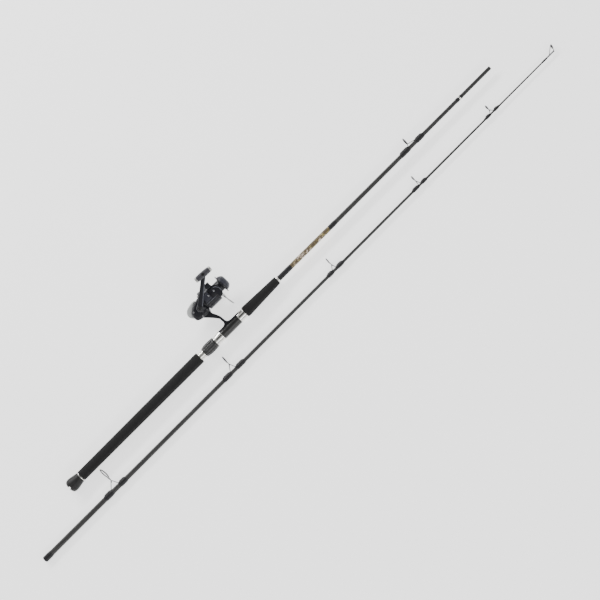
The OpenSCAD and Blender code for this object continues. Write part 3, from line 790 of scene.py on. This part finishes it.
def seat():
    """Threaded barrel, fluted lock nut, two hoods and the seat tube between them."""
    crest, root, pitch = 11.0, 10.3, 2.0
    thread = [(-181.2, butt_r(-181)), (-255.8, butt_r(-255.8)), (-255.8, root)]
    x = -255.4
    while x < -202:
        thread += [(x, root), (x + 0.55, crest), (x + 0.85, crest), (x + 1.4, root)]
        x += pitch
    thread += [(-201.6, 10.6), (-181.2, 10.6)]
    piece = lathe("seat_barrel_threaded", thread, BUTT, SILVER, "butt_section", 80, 25)
    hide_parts("seat_barrel")

    bore = 11.06
    nut = spread(rounded([(-241.2, bore), (-241.2, 11.7), (-238.5, 12.6), (-231, 14.3), (-220, 14.7),
                          (-206, 13.6), (-203.7, 12.8), (-203.7, bore)], 0.8, 4, False), 2.0)
    flutes = 12

    def fluted(x, r, angle):
        if r < 12.3:
            return r
        depth = 1.1 * min(1, max(0, (x + 238) / 4)) * min(1, max(0, (-206 - x) / 4))
        return r - depth * (0.5 + 0.5 * math.cos(angle * flutes)) ** 2

    piece = lathe("lock_nut_fluted", nut, BUTT, SEAT, "nut", 144, 40, fluted)
    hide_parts("lock_nut")

    ring = rounded([(-203.5, bore), (-203.5, 12.4), (-201.9, 12.4), (-201.6, 11.7), (-200.7, 11.7),
                    (-200.4, 12.2), (-199.4, 12.2), (-199.4, bore)], 0.2, 2, False)
    piece = lathe("hood_ring_turned", ring, BUTT, SILVER, "sliding_hood", 96)
    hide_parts("hood_ring")

    hood("movable_hood", -199.3, -180.9, 12.2, 1, "sliding_hood")
    hood("fixed_hood", -106.4, -126.1, 12.3, -1, "butt_section")

    foot_under = 9.45
    tube_profile = spread(rounded([(-180.8, butt_r(-181)), (-180.8, 12.0), (-126.2, 12.0), (-126.2, 11.0),
                                   (-106.4, 11.0), (-106.4, butt_r(-106.4))], 0.3, 2, False), 6)

    def flatted(x, r, angle):
        across = r * math.cos(angle)
        return foot_under / math.cos(angle) if across > foot_under else r

    piece = lathe("seat_body_tube", tube_profile, BUTT, SEAT, "butt_section", 144, 40, flatted)
    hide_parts("seat_body")


def hood(node, closed_x, mouth_x, r, way, body):
    """Polished hood with a swelling over the foot that grows towards its mouth."""
    inner = 11.03 if way < 0 else 11.06
    length = abs(mouth_x - closed_x)
    profile = [(0, inner), (0, r - 0.5), (0.5, r), (length - 0.8, r), (length, r - 0.35), (length, inner)]
    profile = spread(rounded(profile, 0.4, 3, False), 1.5)
    profile = [(closed_x + way * x, radius) for x, radius in profile]

    def swollen(x, radius, angle):
        if radius < inner + 0.05:
            return radius
        along = abs(x - closed_x) / length
        away = off_top(angle)
        if away > HOOD_HALF_ANGLE:
            return radius
        across = math.cos(math.pi / 2 * away / HOOD_HALF_ANGLE) ** 1.5
        return radius + HOOD_SWELL * across * min(1, 0.15 + 1.1 * along)

    piece = lathe(node + "_polished", profile, BUTT, SILVER, body, 144, 40, swollen)
    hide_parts(node)


def winding_data(radius_at, x0, x1, thick, foot=False):
    """A winding, swollen on the guide side where it covers a foot."""
    start, stop = radius_at(x0), radius_at(x1)
    profile = rounded([(x0, start + 0.02), (x0 + 0.5, start + 0.3), (x0 + 4.0, start + thick),
                       (x1 - 4.0, stop + thick), (x1 - 0.5, stop + 0.3), (x1, stop + 0.02)], 1.5, 3, False)

    def shape(x, r, angle):
        return r + (bulge(x, angle, x0 + 0.8, x1 - 0.8) if foot else 0)

    return lathe_data(spread(profile, 1.2), 48, shape)


def butt_windings():
    parts = [winding_data(butt_r, x0, x1, thick)
             for x0, x1, thick in ((6, 47.6, BARE_WINDING), (173.9, 196, BARE_WINDING),
                                   (596, 605.5, END_WINDING), (609.3, 614.7, END_WINDING))]
    parts += [winding_data(butt_r, x0, x1, FOOT_WINDING, True) for x0, x1 in ((412.2, 441.3), (461.7, 487.1))]
    piece = joined("butt_windings_thread", parts, BUTT, THREAD, "butt_section", 50)
    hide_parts("butt_windings")
    profile = spread(shell([(47.7, butt_r(47.7) + 0.35), (173.7, butt_r(173.7) + 0.35)],
                           (butt_r(47.7), butt_r(173.7)), 0.2), 6)
    piece = lathe("label_sleeve_shell", profile, BUTT, LABEL, "butt_section", 64)
    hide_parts("label_sleeve")


# ---------------------------------------------------------------- guides

# Ring's place, outside diameter, height and lean in degrees, then the inner ends of its two windings.
TIP_GUIDES = [
    (-606.6, 30, 44.5, 3, -621, -598), (-218, 20, 33.8, -3.4, -228, -212), (116.6, 17, 26.3, -4.4, 109, 120),
    (394.7, 13.9, 22.8, -3, 393, 399.5), (634.4, 12.4, 17.8, -3, 630, 640),
]
BUTT_GUIDE = (444.2, 19.5, 17.8, -2, 441.3, 461.7)
BAND = 1.1
INSERT_HALF = 1.35
TIP_WINDINGS = [(-646, -621), (-598, -576.5), (-255, -228), (-212, -185), (90, 109), (120, 142), (371, 393),
                (399.5, 418), (612.5, 630), (640, 656)]


def leaning(x, height, lean):
    """Matrix from a ring about the origin to its place over the rod."""
    return Matrix.Translation((x, height, 0)) @ Matrix.Rotation(math.radians(lean), 4, "Z")


def band_profile(outer):
    return rounded([(-0.75, outer - BAND), (-0.6, outer), (0.6, outer), (0.75, outer - BAND)], 0.5, 3)


def ring_profile(outer, inner):
    """Round section of a hard ring insert."""
    return [(INSERT_HALF * math.cos(a), inner + (outer - inner) * (0.5 - 0.5 * math.sin(a)))
            for a in (TURN * k / 20 for k in range(20))]


def guide(spec, base, body, radius_at, frame_node, with_neck=True):
    """A guide's band, its neck where it has one, and a leg to each of its windings."""
    x, size, height, lean, rear, front = spec
    outer = size / 2
    split = height - outer - (size * 0.28 if with_neck else -0.6)
    parts = [moved(lathe_data(band_profile(outer), 64), leaning(x, height, lean))]
    foot_rear = radius_at(rear) + 0.5
    foot_front = radius_at(front) + 0.5
    for side in (-1, 1) if with_neck else ():
        z_top = side * outer * 0.42
        top_y = height - math.sqrt(outer ** 2 - z_top ** 2) + 0.1
        path = [(x, top_y, z_top), (x, (top_y + split) / 2 + 0.6, z_top * 0.55), (x, split, side * 0.6),
                (x + (rear - x) * 0.25, split + (foot_rear - split) * 0.25, side * 0.55)]
        parts.append(bar(path, 1.0, 12))
    for end, foot, way, reach in ((rear, foot_rear, -1, 20), (front, foot_front, 1, 17.5)):
        leg = [(x + 0.4 * way, split + 1.2, 0), (end, foot + 0.3, 0), (end + 5 * way, foot - 0.1, 0),
               (end + reach * way, foot - 0.3, 0)]
        parts.append(bar(leg, 1.35, 14, flat=0.7))
    piece = joined(f"{frame_node}_wire", parts, base, GUIDE, body, 50)
    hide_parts(frame_node)


def insert_data(spec):
    x, size, height, lean = spec[:4]
    outer = size / 2 - BAND - 0.02
    inner = outer - 0.03 * size - 0.7
    return moved(lathe_data(ring_profile(outer, inner), 64), leaning(x, height, lean))


def guides():
    for number, spec in enumerate(TIP_GUIDES, 1):
        guide(spec, TIP, "tip_section", tip_r, f"tip_guide_frame_{number}")
    piece = joined("tip_guide_inserts", [insert_data(spec) for spec in TIP_GUIDES], TIP, CERAMIC,
                   "tip_section", 60)
    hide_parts("tip_guide_rings")
    guide(BUTT_GUIDE, BUTT, "butt_section", butt_r, "butt_guide_frame", False)
    piece = joined("butt_guide_insert", [insert_data(BUTT_GUIDE)], BUTT, CERAMIC, "butt_section", 60)
    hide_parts("butt_guide_ring")


def tip_section():
    end, front = -846.9, 816.4
    bore = 4.54
    profile = [(end, bore), (end, SOCKET_R - 0.2), (end + 0.3, SOCKET_R), (-815, tip_r(-815)),
               (front - 0.4, tip_r(front)), (front, tip_r(front) - 0.4), (front, 0), (-749, 0), (-749, bore)]
    piece = lathe("tip_blank_tube", profile, TIP, BLANK, "tip_section", 64)
    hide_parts("tip_blank")
    socket = spread(rounded([(-846, SOCKET_R), (-846, 7.3), (-845, 7.65), (-829.5, 7.65), (-823, 6.85),
                             (-823, SOCKET_R)],
                            0.8, 3, False), 1.5)
    parts = [lathe_data(socket, 64)]
    parts += [winding_data(tip_r, x0, x1, FOOT_WINDING, True) for x0, x1 in TIP_WINDINGS]
    parts.append(winding_data(tip_r, 799, 816.3, END_WINDING))
    piece = joined("tip_windings_thread", parts, TIP, THREAD, "tip_section", 50)
    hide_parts("tip_windings")


def tip_top():
    lift = leaning(843, 10.4, -15)
    sleeve = rounded([(816.5, 1.45), (816.5, 1.9), (840, 1.9), (840, 0.0)], 0.5, 3, False) + [(816.5, 0.0)]
    parts = [moved(lathe_data(band_profile(6.5), 48), lift), lathe_data(sleeve, 32)]
    for side in (-1, 1):
        stay = [(825, 1.6, side * 0.5), (835, 9.0, side * 1.6), (843.6, 15.6, side * 2.4)]
        parts.append(bar(stay, 0.75, 10))
    parts.append(bar([(836, 0.6, 0), (840, 1.6, 0), (841, 5.0, 0)], 0.9, 10))
    piece = joined("tip_top_frame", parts, TIP, GUIDE, "tip_section", 50)
    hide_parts("tip_top")
    piece = joined("tip_top_insert", [moved(lathe_data(ring_profile(5.38, 4.1), 48), lift)], TIP, CERAMIC,
                   "tip_section", 60)
    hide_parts("tip_top_ring")


butt_cap()
grips()
blank_pieces()
trim_rings()
seat()
butt_windings()
guides()
tip_section()
tip_top()

# ---------------------------------------------------------------- reel body

UPRIGHT = Matrix.Rotation(math.radians(-90), 4, "Y")    # turns a lathe about x into one about z
FAR_SIDE = Matrix.Rotation(math.radians(180), 4, "X")
SHAFT_H = shaft_at.y
CRANK_XY = (crank_at.x, crank_at.y)

HOUSING = [(-158.8, 66), (-158.8, 84), (-159.2, 99.5), (-163, 101.8), (-176.2, 98.8), (-186.3, 93.4),
           (-194.5, 87.0), (-198.6, 80.0), (-199.9, 73), (-198.8, 66.5), (-194.5, 62.6), (-186, 60.6),
           (-174, 59.6), (-163, 60)]
CAVITY = [(-160, 67.5), (-160, 97), (-163, 98.8), (-175.4, 96), (-184.6, 91), (-195, 82.4), (-197.2, 73.9),
          (-196, 69), (-193, 66.5), (-187, 65.6)]
STEM = [(-160.0, 64), (-162.1, 57.6), (-161.1, 51.7), (-156.9, 43.2), (-153.6, 33.9), (-152.7, 25.5),
        (-151.6, 18.4), (-147.4, 14.2), (-139, 12.6), (-127, 12.0), (-127, 11.0), (-181, 11.0),
        (-174.6, 12.1), (-166.3, 12.6), (-160.6, 14.8), (-158.3, 19), (-158.6, 24), (-158.9, 30.6),
        (-163.1, 37.1), (-170, 45.2), (-176.2, 52.1),
        (-184.7, 61.6), (-180, 66)]


def dome(outline, low, high, edge, crown, steps=6):
    """Rings of a domed side: a rounded edge and then a gentle rise to the middle."""
    rings = slab_rings(outline, low, high, 0, edge, steps)
    top = rings[-1]
    cx = sum(p[0] for p in top) / len(top)
    cy = sum(p[1] for p in top) / len(top)
    for k in range(1, 6):
        t = 1 - k / 6
        rise = crown * math.sin(math.pi / 2 * k / 6)
        rings.append([(cx + (x - cx) * t, cy + (y - cy) * t, z + rise) for x, y, z in top])
    return rings


def flipped(rings):
    return [[(x, y, -z) for x, y, z in ring] for ring in rings]


def upright_lathe(profile, x, y, segments=48):
    """Turned solid about local z at (x, y) from (height, radius) points."""
    return moved(lathe_data(profile, segments), Matrix.Translation((x, y, 0)) @ UPRIGHT)


def screw(x, y, z, radius, height):
    """A round screw head with a cross recess."""
    count = 48
    rings = [circle_outline(radius, count, x, y)] * 2 + [circle_outline(radius * 0.86, count, x, y)]
    heights = [z, z + height * 0.65, z + height]
    out = [[(px, py, h) for px, py in ring] for ring, h in zip(rings, heights)]
    for share, h in ((1.0, z + height), (0.92, z + height - 0.6 * height)):
        ring = []
        for k in range(count):
            a = TURN * k / count
            r = radius * (0.16 + 0.46 * abs(math.cos(2 * a)) ** 6) * share
            ring.append((x + r * math.cos(a), y + r * math.sin(a), h))
        out.append(ring)
    return loft_data(out)


def on_shaft(profile, segments=64):
    """Turned solid about the main shaft from (x, radius) points."""
    return moved(lathe_data(profile, segments), Matrix.Translation((0, SHAFT_H, 0)))


def shaft_bore(x0, x1):
    """Clearance for the main shaft at the back of its stroke."""
    radius = 3
    return on_shaft([(x0, 0), (x0, radius), (x1, radius), (x1, 0)], 40)


def reel_body():
    outline = curve_through(HOUSING, 5)
    shell_rings = flipped(dome(outline, -6.0, 18.4, 6.0, 1.6))
    stem = slab_rings(curve_through(STEM, 3), -6, 6, 1.4, 1.4, 4)
    foot_side = rounded([(-191, 9.5), (-191, 10.5), (-181, 12.2), (-126, 12.2), (-116, 10.5), (-116, 9.5)],
                        0.5, 2)
    foot = slab_rings(foot_side, -6.5, 6.5, 0.4, 0.4, 2)
    nose = on_shaft(rounded([(-161, 17.0), (-161, 20.5), (-149.5, 20.5), (-149.5, 5.4), (-153, 5.4),
                             (-153, 17)], 1, 3))
    boss_low, bearing_r = -37.2, 6.53
    boss = upright_lathe(rounded([(-12, 13.5), (-17.5, 12.5), (-21, 9.6), (boss_low, 8.8),
                                  (boss_low, bearing_r), (-12, bearing_r)], 1.2, 4), *CRANK_XY)
    cavity = loft_data(slab_rings(CAVITY, -17, 7))
    throat = on_shaft([(-162, 0), (-162, 19), (-150, 19), (-150, 0)])
    housing = hollowed(loft_data(shell_rings), cavity, throat, shaft_bore(-206, -184))
    piece = joined("reel_body_cast", [housing, loft_data(stem), loft_data(foot), nose, boss], BUTT,
                   REEL, "butt_section", 40)
    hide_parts("reel_body")

    cavity = loft_data(slab_rings(CAVITY, 5, 16.5))
    cover = hollowed(loft_data(dome(outline, 6.05, 18.4, 6.0, 1.6)), cavity)
    boss = upright_lathe(rounded([(13, 14.5), (18.6, 13.0), (22, 10.2), (35.9, 8.5), (35.9, 4.3), (13, 4.3)],
                                 1.4, 5),
                         *CRANK_XY)
    rib = slab_rings(curve_through([(-163, 66.5), (-163, 96), (-174, 95.4), (-184, 90.6), (-192.6, 83.5),
                                    (-195, 74.5), (-192, 68), (-184, 65.5)], 4), 17, 19.9, 0, 1.2, 3)
    piece = joined("side_cover_cast", [cover, boss, loft_data(rib)], BUTT, REEL, "butt_section", 40)
    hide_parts("side_cover")

    heads = [screw(-190.3, 83.8, 19.2, 2.1, 1.7), screw(-180.9, 63.6, 18.4, 1.8, 2.0),
             screw(-163.8, 66.6, 18.4, 1.4, 2.0)]
    piece = joined("cover_screw_heads", heads, BUTT, STEEL, "butt_section", 30)
    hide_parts("cover_screws")

    cap = upright_lathe(rounded([(-33.3, 6.45), (-37.25, 6.45), (-37.25, 8.8), (-38.9, 8.3), (-38.9, 5.2),
                                 (-38.3, 4.6), (-38.3, 0.01), (-33.3, 0.01)], 0.5, 3,
                                 False)[:-1] + [(-33.3, 0)], *CRANK_XY)
    piece = joined("port_cap_turned", [cap], BUTT, REEL_LIGHT, "butt_section", 35)
    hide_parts("port_cap")


def rear_cover():
    outside = [(-172, 101.4), (-173, 104.2), (-180.7, 104.7), (-194.8, 101.9), (-201.6, 98.2), (-206, 93.0),
               (-207.5, 87.4), (-207, 82.3), (-204, 77.2), (-200.6, 73.6), (-198.2, 76.5), (-195.0, 84.5),
               (-184.5, 92.5), (-174.5, 98.0)]
    outline = curve_through(outside, 4)
    rings = slab_rings(outline, -15, 6, 3.4, 3.4, 6)
    piece = mesh_piece("rear_cover_moulded", loft_data(rings), BUTT, PALE, "butt_section", 45)
    carve(piece, shaft_bore(-201, -180), BUTT)
    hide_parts("rear_cover")


def reverse_lever():
    x, y = -188, 71.2
    outline = rounded([(x - 3.2, y), (x - 1.5, y - 7.1), (x + 1.5, y - 7.1), (x + 3.2, y), (x + 2, y + 3),
                       (x - 2, y + 3)], 1.3, 3)
    parts = [loft_data(slab_rings(outline, -21.4, -20.1, 0.4, 0.4, 3)),
             upright_lathe([(-20.3, 1.4), (-17.2, 1.4), (-17.2, 0), (-20.3, 0)], x, y, 24)]
    piece = joined("reverse_lever_moulded", parts, BUTT, REEL_LIGHT, "lever", 35)
    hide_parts("reverse_lever")


# ---------------------------------------------------------------- crank and handle

def crank():
    """Flat arm that is wider at the hub and rises towards the knob."""
    hub_r, end_r = 7.4, 5.0
    flare = hub_r - end_r - 0.9
    base = 39.6
    outline = []
    for k in range(17):
        a = math.radians(-90 + 180 * k / 16)
        outline.append((CRANK_LEN + end_r * math.cos(a), end_r * math.sin(a)))
    steps = 14
    for k in range(1, steps):
        t = k / steps
        outline.append((CRANK_LEN * (1 - t), end_r + 0.1 + flare * t ** 2))
    for k in range(17):
        a = math.radians(90 + 180 * k / 16)
        outline.append((hub_r * math.cos(a), hub_r * math.sin(a)))
    for k in range(1, steps):
        t = k / steps
        outline.append((CRANK_LEN * t, -(end_r + 0.1 + flare * (1 - t) ** 2)))

    def lift(x):
        if x < 8:
            return base
        return base + (min(x, CRANK_LEN - 8) - 8) * 0.302 + max(0, x - CRANK_LEN + 8) * 0.14

    def thick(x):
        return 6 - 1.2 * max(0, min(1, x / CRANK_LEN))

    rings = [[(x, y, lift(x) + thick(x) * t) for x, y, t in ring] for ring in edge_rings(outline, 1.0)]
    piece = joined("crank_arm_cast", [loft_data(rings)], CRANK, REEL, "crank", 40)
    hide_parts("crank_arm")
    # A lighter bead along one edge of the arm, in the lighter copy of the reel paint: a painted highlight.
    rib = [(x, -(end_r - 1.0 + flare * (1 - x / CRANK_LEN) ** 2), lift(x) + thick(x) - 0.25)
           for x in (6, 14, 24, 34, 44, 54, 64, 70)]
    piece = joined("crank_arm_painted_highlight", [bar(rib, 0.75, 12, 4)], CRANK, REEL_PAINTED_HIGHLIGHT, "crank", 50)
    screw_top = upright_lathe(rounded([(40, 3.4), (45.65, 3.4), (45.65, 5.0), (46.9, 5.0), (47.85, 4.0),
                                       (47.85, 1.6), (47.2, 1.4), (47.2, 0.01), (40, 0.01)], 0.35, 3,
                                       False)[:-1] + [(40, 0)], 0, 0)
    piece = joined("crank_screw_turned", [screw_top], CRANK, DARK_SCREW, "crank", 35)
    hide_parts("crank_screw")


def edge_rings(outline, edge, steps=5):
    """Rings of a slab of height 0 to 1 with its edges eased inwards over a share of that height."""
    share = 0.28
    quarter = [math.pi / 2 * k / steps for k in range(steps + 1)]
    rings = [[(x, y, share * (1 - math.cos(a))) for x, y in inset(outline, edge * (1 - math.sin(a)))]
             for a in quarter]
    rings += [[(x, y, 1 - share * (1 - math.sin(a))) for x, y in inset(outline, edge * (1 - math.cos(a)))]
              for a in quarter]
    return rings


def handle():
    """Barrel-shaped bar with metal ends, a neck below and a screw well above its middle."""
    low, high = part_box("knob_caps")
    half = (high[0] - low[0]) / 2 / MM
    cap_long = 5
    body_half = half - cap_long
    sides = 48

    def section(x, r_across, r_up):
        ring = []
        for k in range(sides):
            a = TURN * k / sides
            ring.append((x, r_across * math.cos(a), r_up * math.sin(a)))
        return ring

    def radius(x):
        return 7.5 - 0.8 * (abs(x) / body_half) ** 2.2

    rings = [section(-body_half, 6.2, 6.2)]
    steps = 28
    for k in range(steps + 1):
        x = -body_half + 2 * body_half * k / steps
        r = radius(x) - (0.12 if k % 2 else 0) * (abs(x) > 7)
        rings.append(section(x, r, r * 0.96))
    rings.append(section(body_half, 6.2, 6.2))
    neck = upright_lathe(rounded([(-3, 2.56), (-9.5, 2.56), (-9.5, 4.6), (-7.6, 5.0), (-5.2, 5.6),
                                  (-3, 5.9)], 0.5, 3), 0, 0)
    piece = joined("knob_grip", [loft_data(rings), neck], KNOB, KNOB_RUBBER, "handle", 40)
    well = upright_lathe([(3.2, 0), (3.2, 3.6), (12, 3.6), (12, 0)], 0, 0, 40)
    carve(piece, well, KNOB)
    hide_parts("knob")
    caps = []
    for side in (-1, 1):
        profile = rounded([(body_half + 0.05, 0.01), (body_half + 0.05, 6.6), (half - 0.6, 6.3),
                           (half + 0.9, 3.6), (half + 0.9, 0.01)], 1.8, 5, False)
        profile = [(side * x, max(r, 0.0) if r > 0.02 else 0.0) for x, r in profile]
        caps.append(lathe_data(profile, 48))
    piece = joined("knob_end_caps", caps, KNOB, CAP_METAL, "handle", 40)
    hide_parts("knob_caps")


# ---------------------------------------------------------------- rotor and bail

ROTOR_R = 25.3
ARM_R = 36.5
PIVOT_X = bail_at.x
BAIL_ANGLE = -76.8
ROLLER_OUT = 18.5


def curved_slab(outline, low, high, edge, steps=4):
    """A slab whose two faces follow circles about the shaft."""
    rings = slab_rings(outline, low, high, edge, edge, steps)
    return loft_data([[(x, y, math.sqrt(max(0.01, r * r - y * y))) for x, y, r in ring] for ring in rings])


def arm_outline(rear, front_centre, half, nose):
    points = [(rear, -half)]
    points += [(front_centre + nose * math.cos(math.radians(a)), nose * math.sin(math.radians(a)))
               for a in range(-66, 67, 12)]
    points += [(rear, half)]
    return fine_outline(points, 2.0, 3, 4)


def rotor():
    cup = [(-147, 4.06), (-147, 22.5), (-156.4, 22.5), (-156.4, 24.4), (-155.2, ROTOR_R), (-150, ROTOR_R),
           (-149.4, 24.8), (-148, 24.8), (-147.4, ROTOR_R), (-124.6, ROTOR_R), (-124.1, 24.9), (-123.1, 24.9),
           (-122.6, ROTOR_R), (-120.4, ROTOR_R), (-119.5, 24.7), (-119.5, 22.5), (-143.5, 22.5), (-143.5, 8),
           (-140.1, 8), (-140.1, 4.06)]
    cup = rounded(cup, 0.35, 2)
    base = arm_outline(-156.2, -119.0, 12, 13.2)
    pad = fine_outline([(-155.4, -11.4), (-133.4, -11.6), (-133.4, 11.6), (-155.4, 11.4)], 2.4, 4, 4)
    web = fine_outline([(-156.2, -12), (-147.5, -12), (-147.5, 12), (-156.2, 12)], 1.2, 3, 4)
    arm = [curved_slab(base, 30.0, 33.2, 0.9), curved_slab(pad, 32.6, ARM_R, 1.5),
           curved_slab(web, 24.0, 33.0, 0.6)]
    block = rounded([(-9.3, 12.4), (4.0, 12.4), (4.0, 25.1), (-9.3, 25.1)], 1.2, 3)
    trip = slab_rings([(x + PIVOT_X, y) for x, y in block], 26.2, 33.2, 0.8, 0.9, 4)
    parts = [lathe_data(cup, 96), loft_data(trip)] + arm + [moved(part, FAR_SIDE) for part in arm]
    piece = joined("rotor_cast", parts, SHAFT, REEL, "rotor_set", 40)
    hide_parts("rotor")

    def on_arm(x, y, r):
        """The point at (x, y) of a circle of radius r about the shaft."""
        return (x, y, math.sqrt(r * r - y * y))

    # Thin lighter bars along the arm edges and lengthwise on the cup, in the lighter copy of the reel paint:
    # painted highlights.
    upper = [on_arm(x, y, r) for x, y, r in ((-153, 10.7, 36.3), (-146.6, 11.4, 36.4), (-134, 12.0, 36.3),
                                             (-131.6, 12.4, 33.4), (-124, 12.8, 33.2), (-116, 12.8, 33.2))]
    lower = [on_arm(x, -y, r) for x, y, r in ((-152, 10.7, 36.3), (-146.6, 11.4, 36.4), (-134, 12.0, 36.3),
                                              (-131.6, 12.4, 33.4), (-127, 12.8, 33.2))]
    ribs = [bar(line, 0.7, 12, 4) for line in (upper, lower)]
    ribs.append(bar([on_arm(-141 + 2 * k, -21.5, ROTOR_R) for k in range(9)], 0.6, 10, 2))
    ribs += [moved(part, FAR_SIDE) for part in ribs]
    piece = joined("rotor_painted_highlight_ribs", ribs, SHAFT, REEL_PAINTED_HIGHLIGHT, "rotor_set", 50)

    plate = fine_outline([(-152, -8.6), (-134.2, -8.6), (-134.2, 8.6), (-152, 8.6)], 2.2, 4, 3)
    piece = joined("arm_cover_plate", [curved_slab(plate, 36.4, 37.45, 0.4)], SHAFT, REEL_LIGHT, "rotor_set",
                   40)
    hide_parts("arm_cover")

    near = screw(PIVOT_X, 0, 36.45, 2.3, 1.05)
    pin = upright_lathe([(28.5, 0), (28.5, 2.0), (36.7, 2.0), (36.7, 0)], PIVOT_X, 0, 24)
    parts = [near, pin, moved(near, FAR_SIDE), moved(pin, FAR_SIDE), screw(-137.9, 0, 37.3, 2.1, 1.0)]
    piece = joined("rotor_screw_heads", parts, SHAFT, STEEL, "rotor_set", 30)
    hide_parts("rotor_screws")


def bail():
    """Curved arm with the line roller below it, holder on the far side and the bow wire between them."""
    reach = Matrix.Rotation(math.radians(BAIL_ANGLE), 4, "Z")
    arm = [(-6.2, 2.2), (-4.0, 5.4), (0, 6.6), (5.0, 6.4), (9.6, 4.2), (13.2, 0), (15.0, -6), (14.8, -12.5),
           (12.6, -18), (9.0, -21), (4.5, -21.6), (1.2, -19.4), (1.8, -14), (1.5, -9), (-1.8, -6.4),
           (-5.2, -3.6)]
    near = slab_rings(curve_through(arm, 4), 33.5, 36.4, 0.6, 1.0, 4)
    pin = upright_lathe(rounded([(29.3, 0.01), (29.3, 1.9), (29.8, 1.9), (29.8, 1.0), (34, 1.0), (34, 0.01)],
                                0.1, 2,
                                False)[1:-1] + [(34, 0), (29.3, 0)], ROLLER_OUT, 0, 32)
    piece = joined("bail_arm_cast", [loft_data(near), moved(pin, reach)], BAIL, REEL, "bail", 40)
    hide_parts("bail_arm")
    # A lighter bar round the arm's nose, in the lighter copy of the reel paint: a painted highlight.
    edge = [(x * 0.94, y * 0.96, 36.3) for x, y in ((5.0, 6.4), (9.6, 4.2), (13.2, 0), (15.0, -6),
                                                    (14.8, -12.5))]
    piece = joined("bail_arm_painted_highlight", [bar(edge, 0.7, 12)], BAIL, REEL_PAINTED_HIGHLIGHT, "bail", 50)

    length = 15
    holder = [(6.4 * math.cos(math.radians(a)), 6.4 * math.sin(math.radians(a))) for a in range(80, 281, 20)]
    holder += [(length * 0.6, -4.4), (length, -3.0), (length + 1.4, 0), (length, 3.0), (length * 0.6, 4.4)]
    holder = spread(holder + [holder[0]], 2.5)[:-1]
    far = moved(loft_data(slab_rings(holder, -36.4, -33.5, 0.7, 0.7, 4)), reach)
    piece = joined("bail_holder_cast", [far], BAIL, REEL, "bail", 40)
    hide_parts("bail_holder")

    bow_r, leg, sway = 35.0, 18.7, 6.0
    path = [(14.5, sway, bow_r)]
    for k in range(49):
        a = math.pi * k / 48
        path.append((leg + bow_r * math.sin(a), sway * max(0, math.cos(a)) ** 8, bow_r * math.cos(a)))
    path.append((15.0, 0, -bow_r))
    path = [reach @ Vector(p) for p in path]
    piece = joined("bail_bow", [loft_data(tube_rings(path, 1.3, 16))], BAIL, WIRE, "bail", 45)
    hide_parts("bail_wire")

    roller = upright_lathe(rounded([(30.0, 1.06), (30.0, 3.1), (30.6, 3.0), (31.1, 2.4), (31.9, 2.4),
                                    (32.4, 3.0), (33.0, 3.1), (33.0, 1.06)], 0.2, 2), ROLLER_OUT, 0, 40)
    piece = joined("line_roller_turned", [moved(roller, reach)], BAIL, BRASS, "roller", 40)
    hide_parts("line_roller")


# ---------------------------------------------------------------- spool and drag

def spool():
    lip_r = middle_radius("spool")
    profile = [(-120, 1.72), (-120, 4), (-106, 4), (-106, 12), (-118.7, 12), (-121, 19.5), (-126, 19.5),
               (-126, 21.5), (-118.9, 21.5), (-118.4, 20.8), (-117.9, 14.0), (-100.4, 14.0), (-99.4, 16),
               (-98.9, 22.6), (-98.3, lip_r), (-97.2, lip_r), (-96.7, 22.8), (-96.7, 19.9), (-97.7, 19.4),
               (-98.4, 11.5), (-104, 11), (-104, 1.72)]
    piece = lathe("spool_turned", rounded(profile, 0.4, 3), SHAFT, REEL, "spool_set", 128, 35)
    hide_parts("spool")

    knob = spread(rounded([(-98.2, 0.01), (-98.2, 8), (-96.4, 8), (-96.4, 19.0), (-94.9, 19.2), (-92.4, 18.7),
                           (-89, 17.2), (-86.0, 15.0), (-83.9, 12.4), (-82.8, 9.4), (-82.7, 4.4),
                           (-83.2, 3.9), (-83.2, 0.01)], 1.2, 4, False), 1.2)
    knob[0] = (knob[0][0], 0.0)
    knob[-1] = (knob[-1][0], 0.0)

    def lobed(x, r, angle):
        if r < 12 or x < -95:
            return r
        return r - 0.45 * max(0, math.cos(angle * 9)) ** 4 * min(1, (x + 95) / 4) * min(1, (r - 12) / 2)

    piece = lathe("drag_knob_moulded", knob, SHAFT, REEL_LIGHT, "drag", 144, 40, lobed)
    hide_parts("drag_knob")


reel_body()
rear_cover()
reverse_lever()
crank()
handle()
rotor()
bail()
spool()
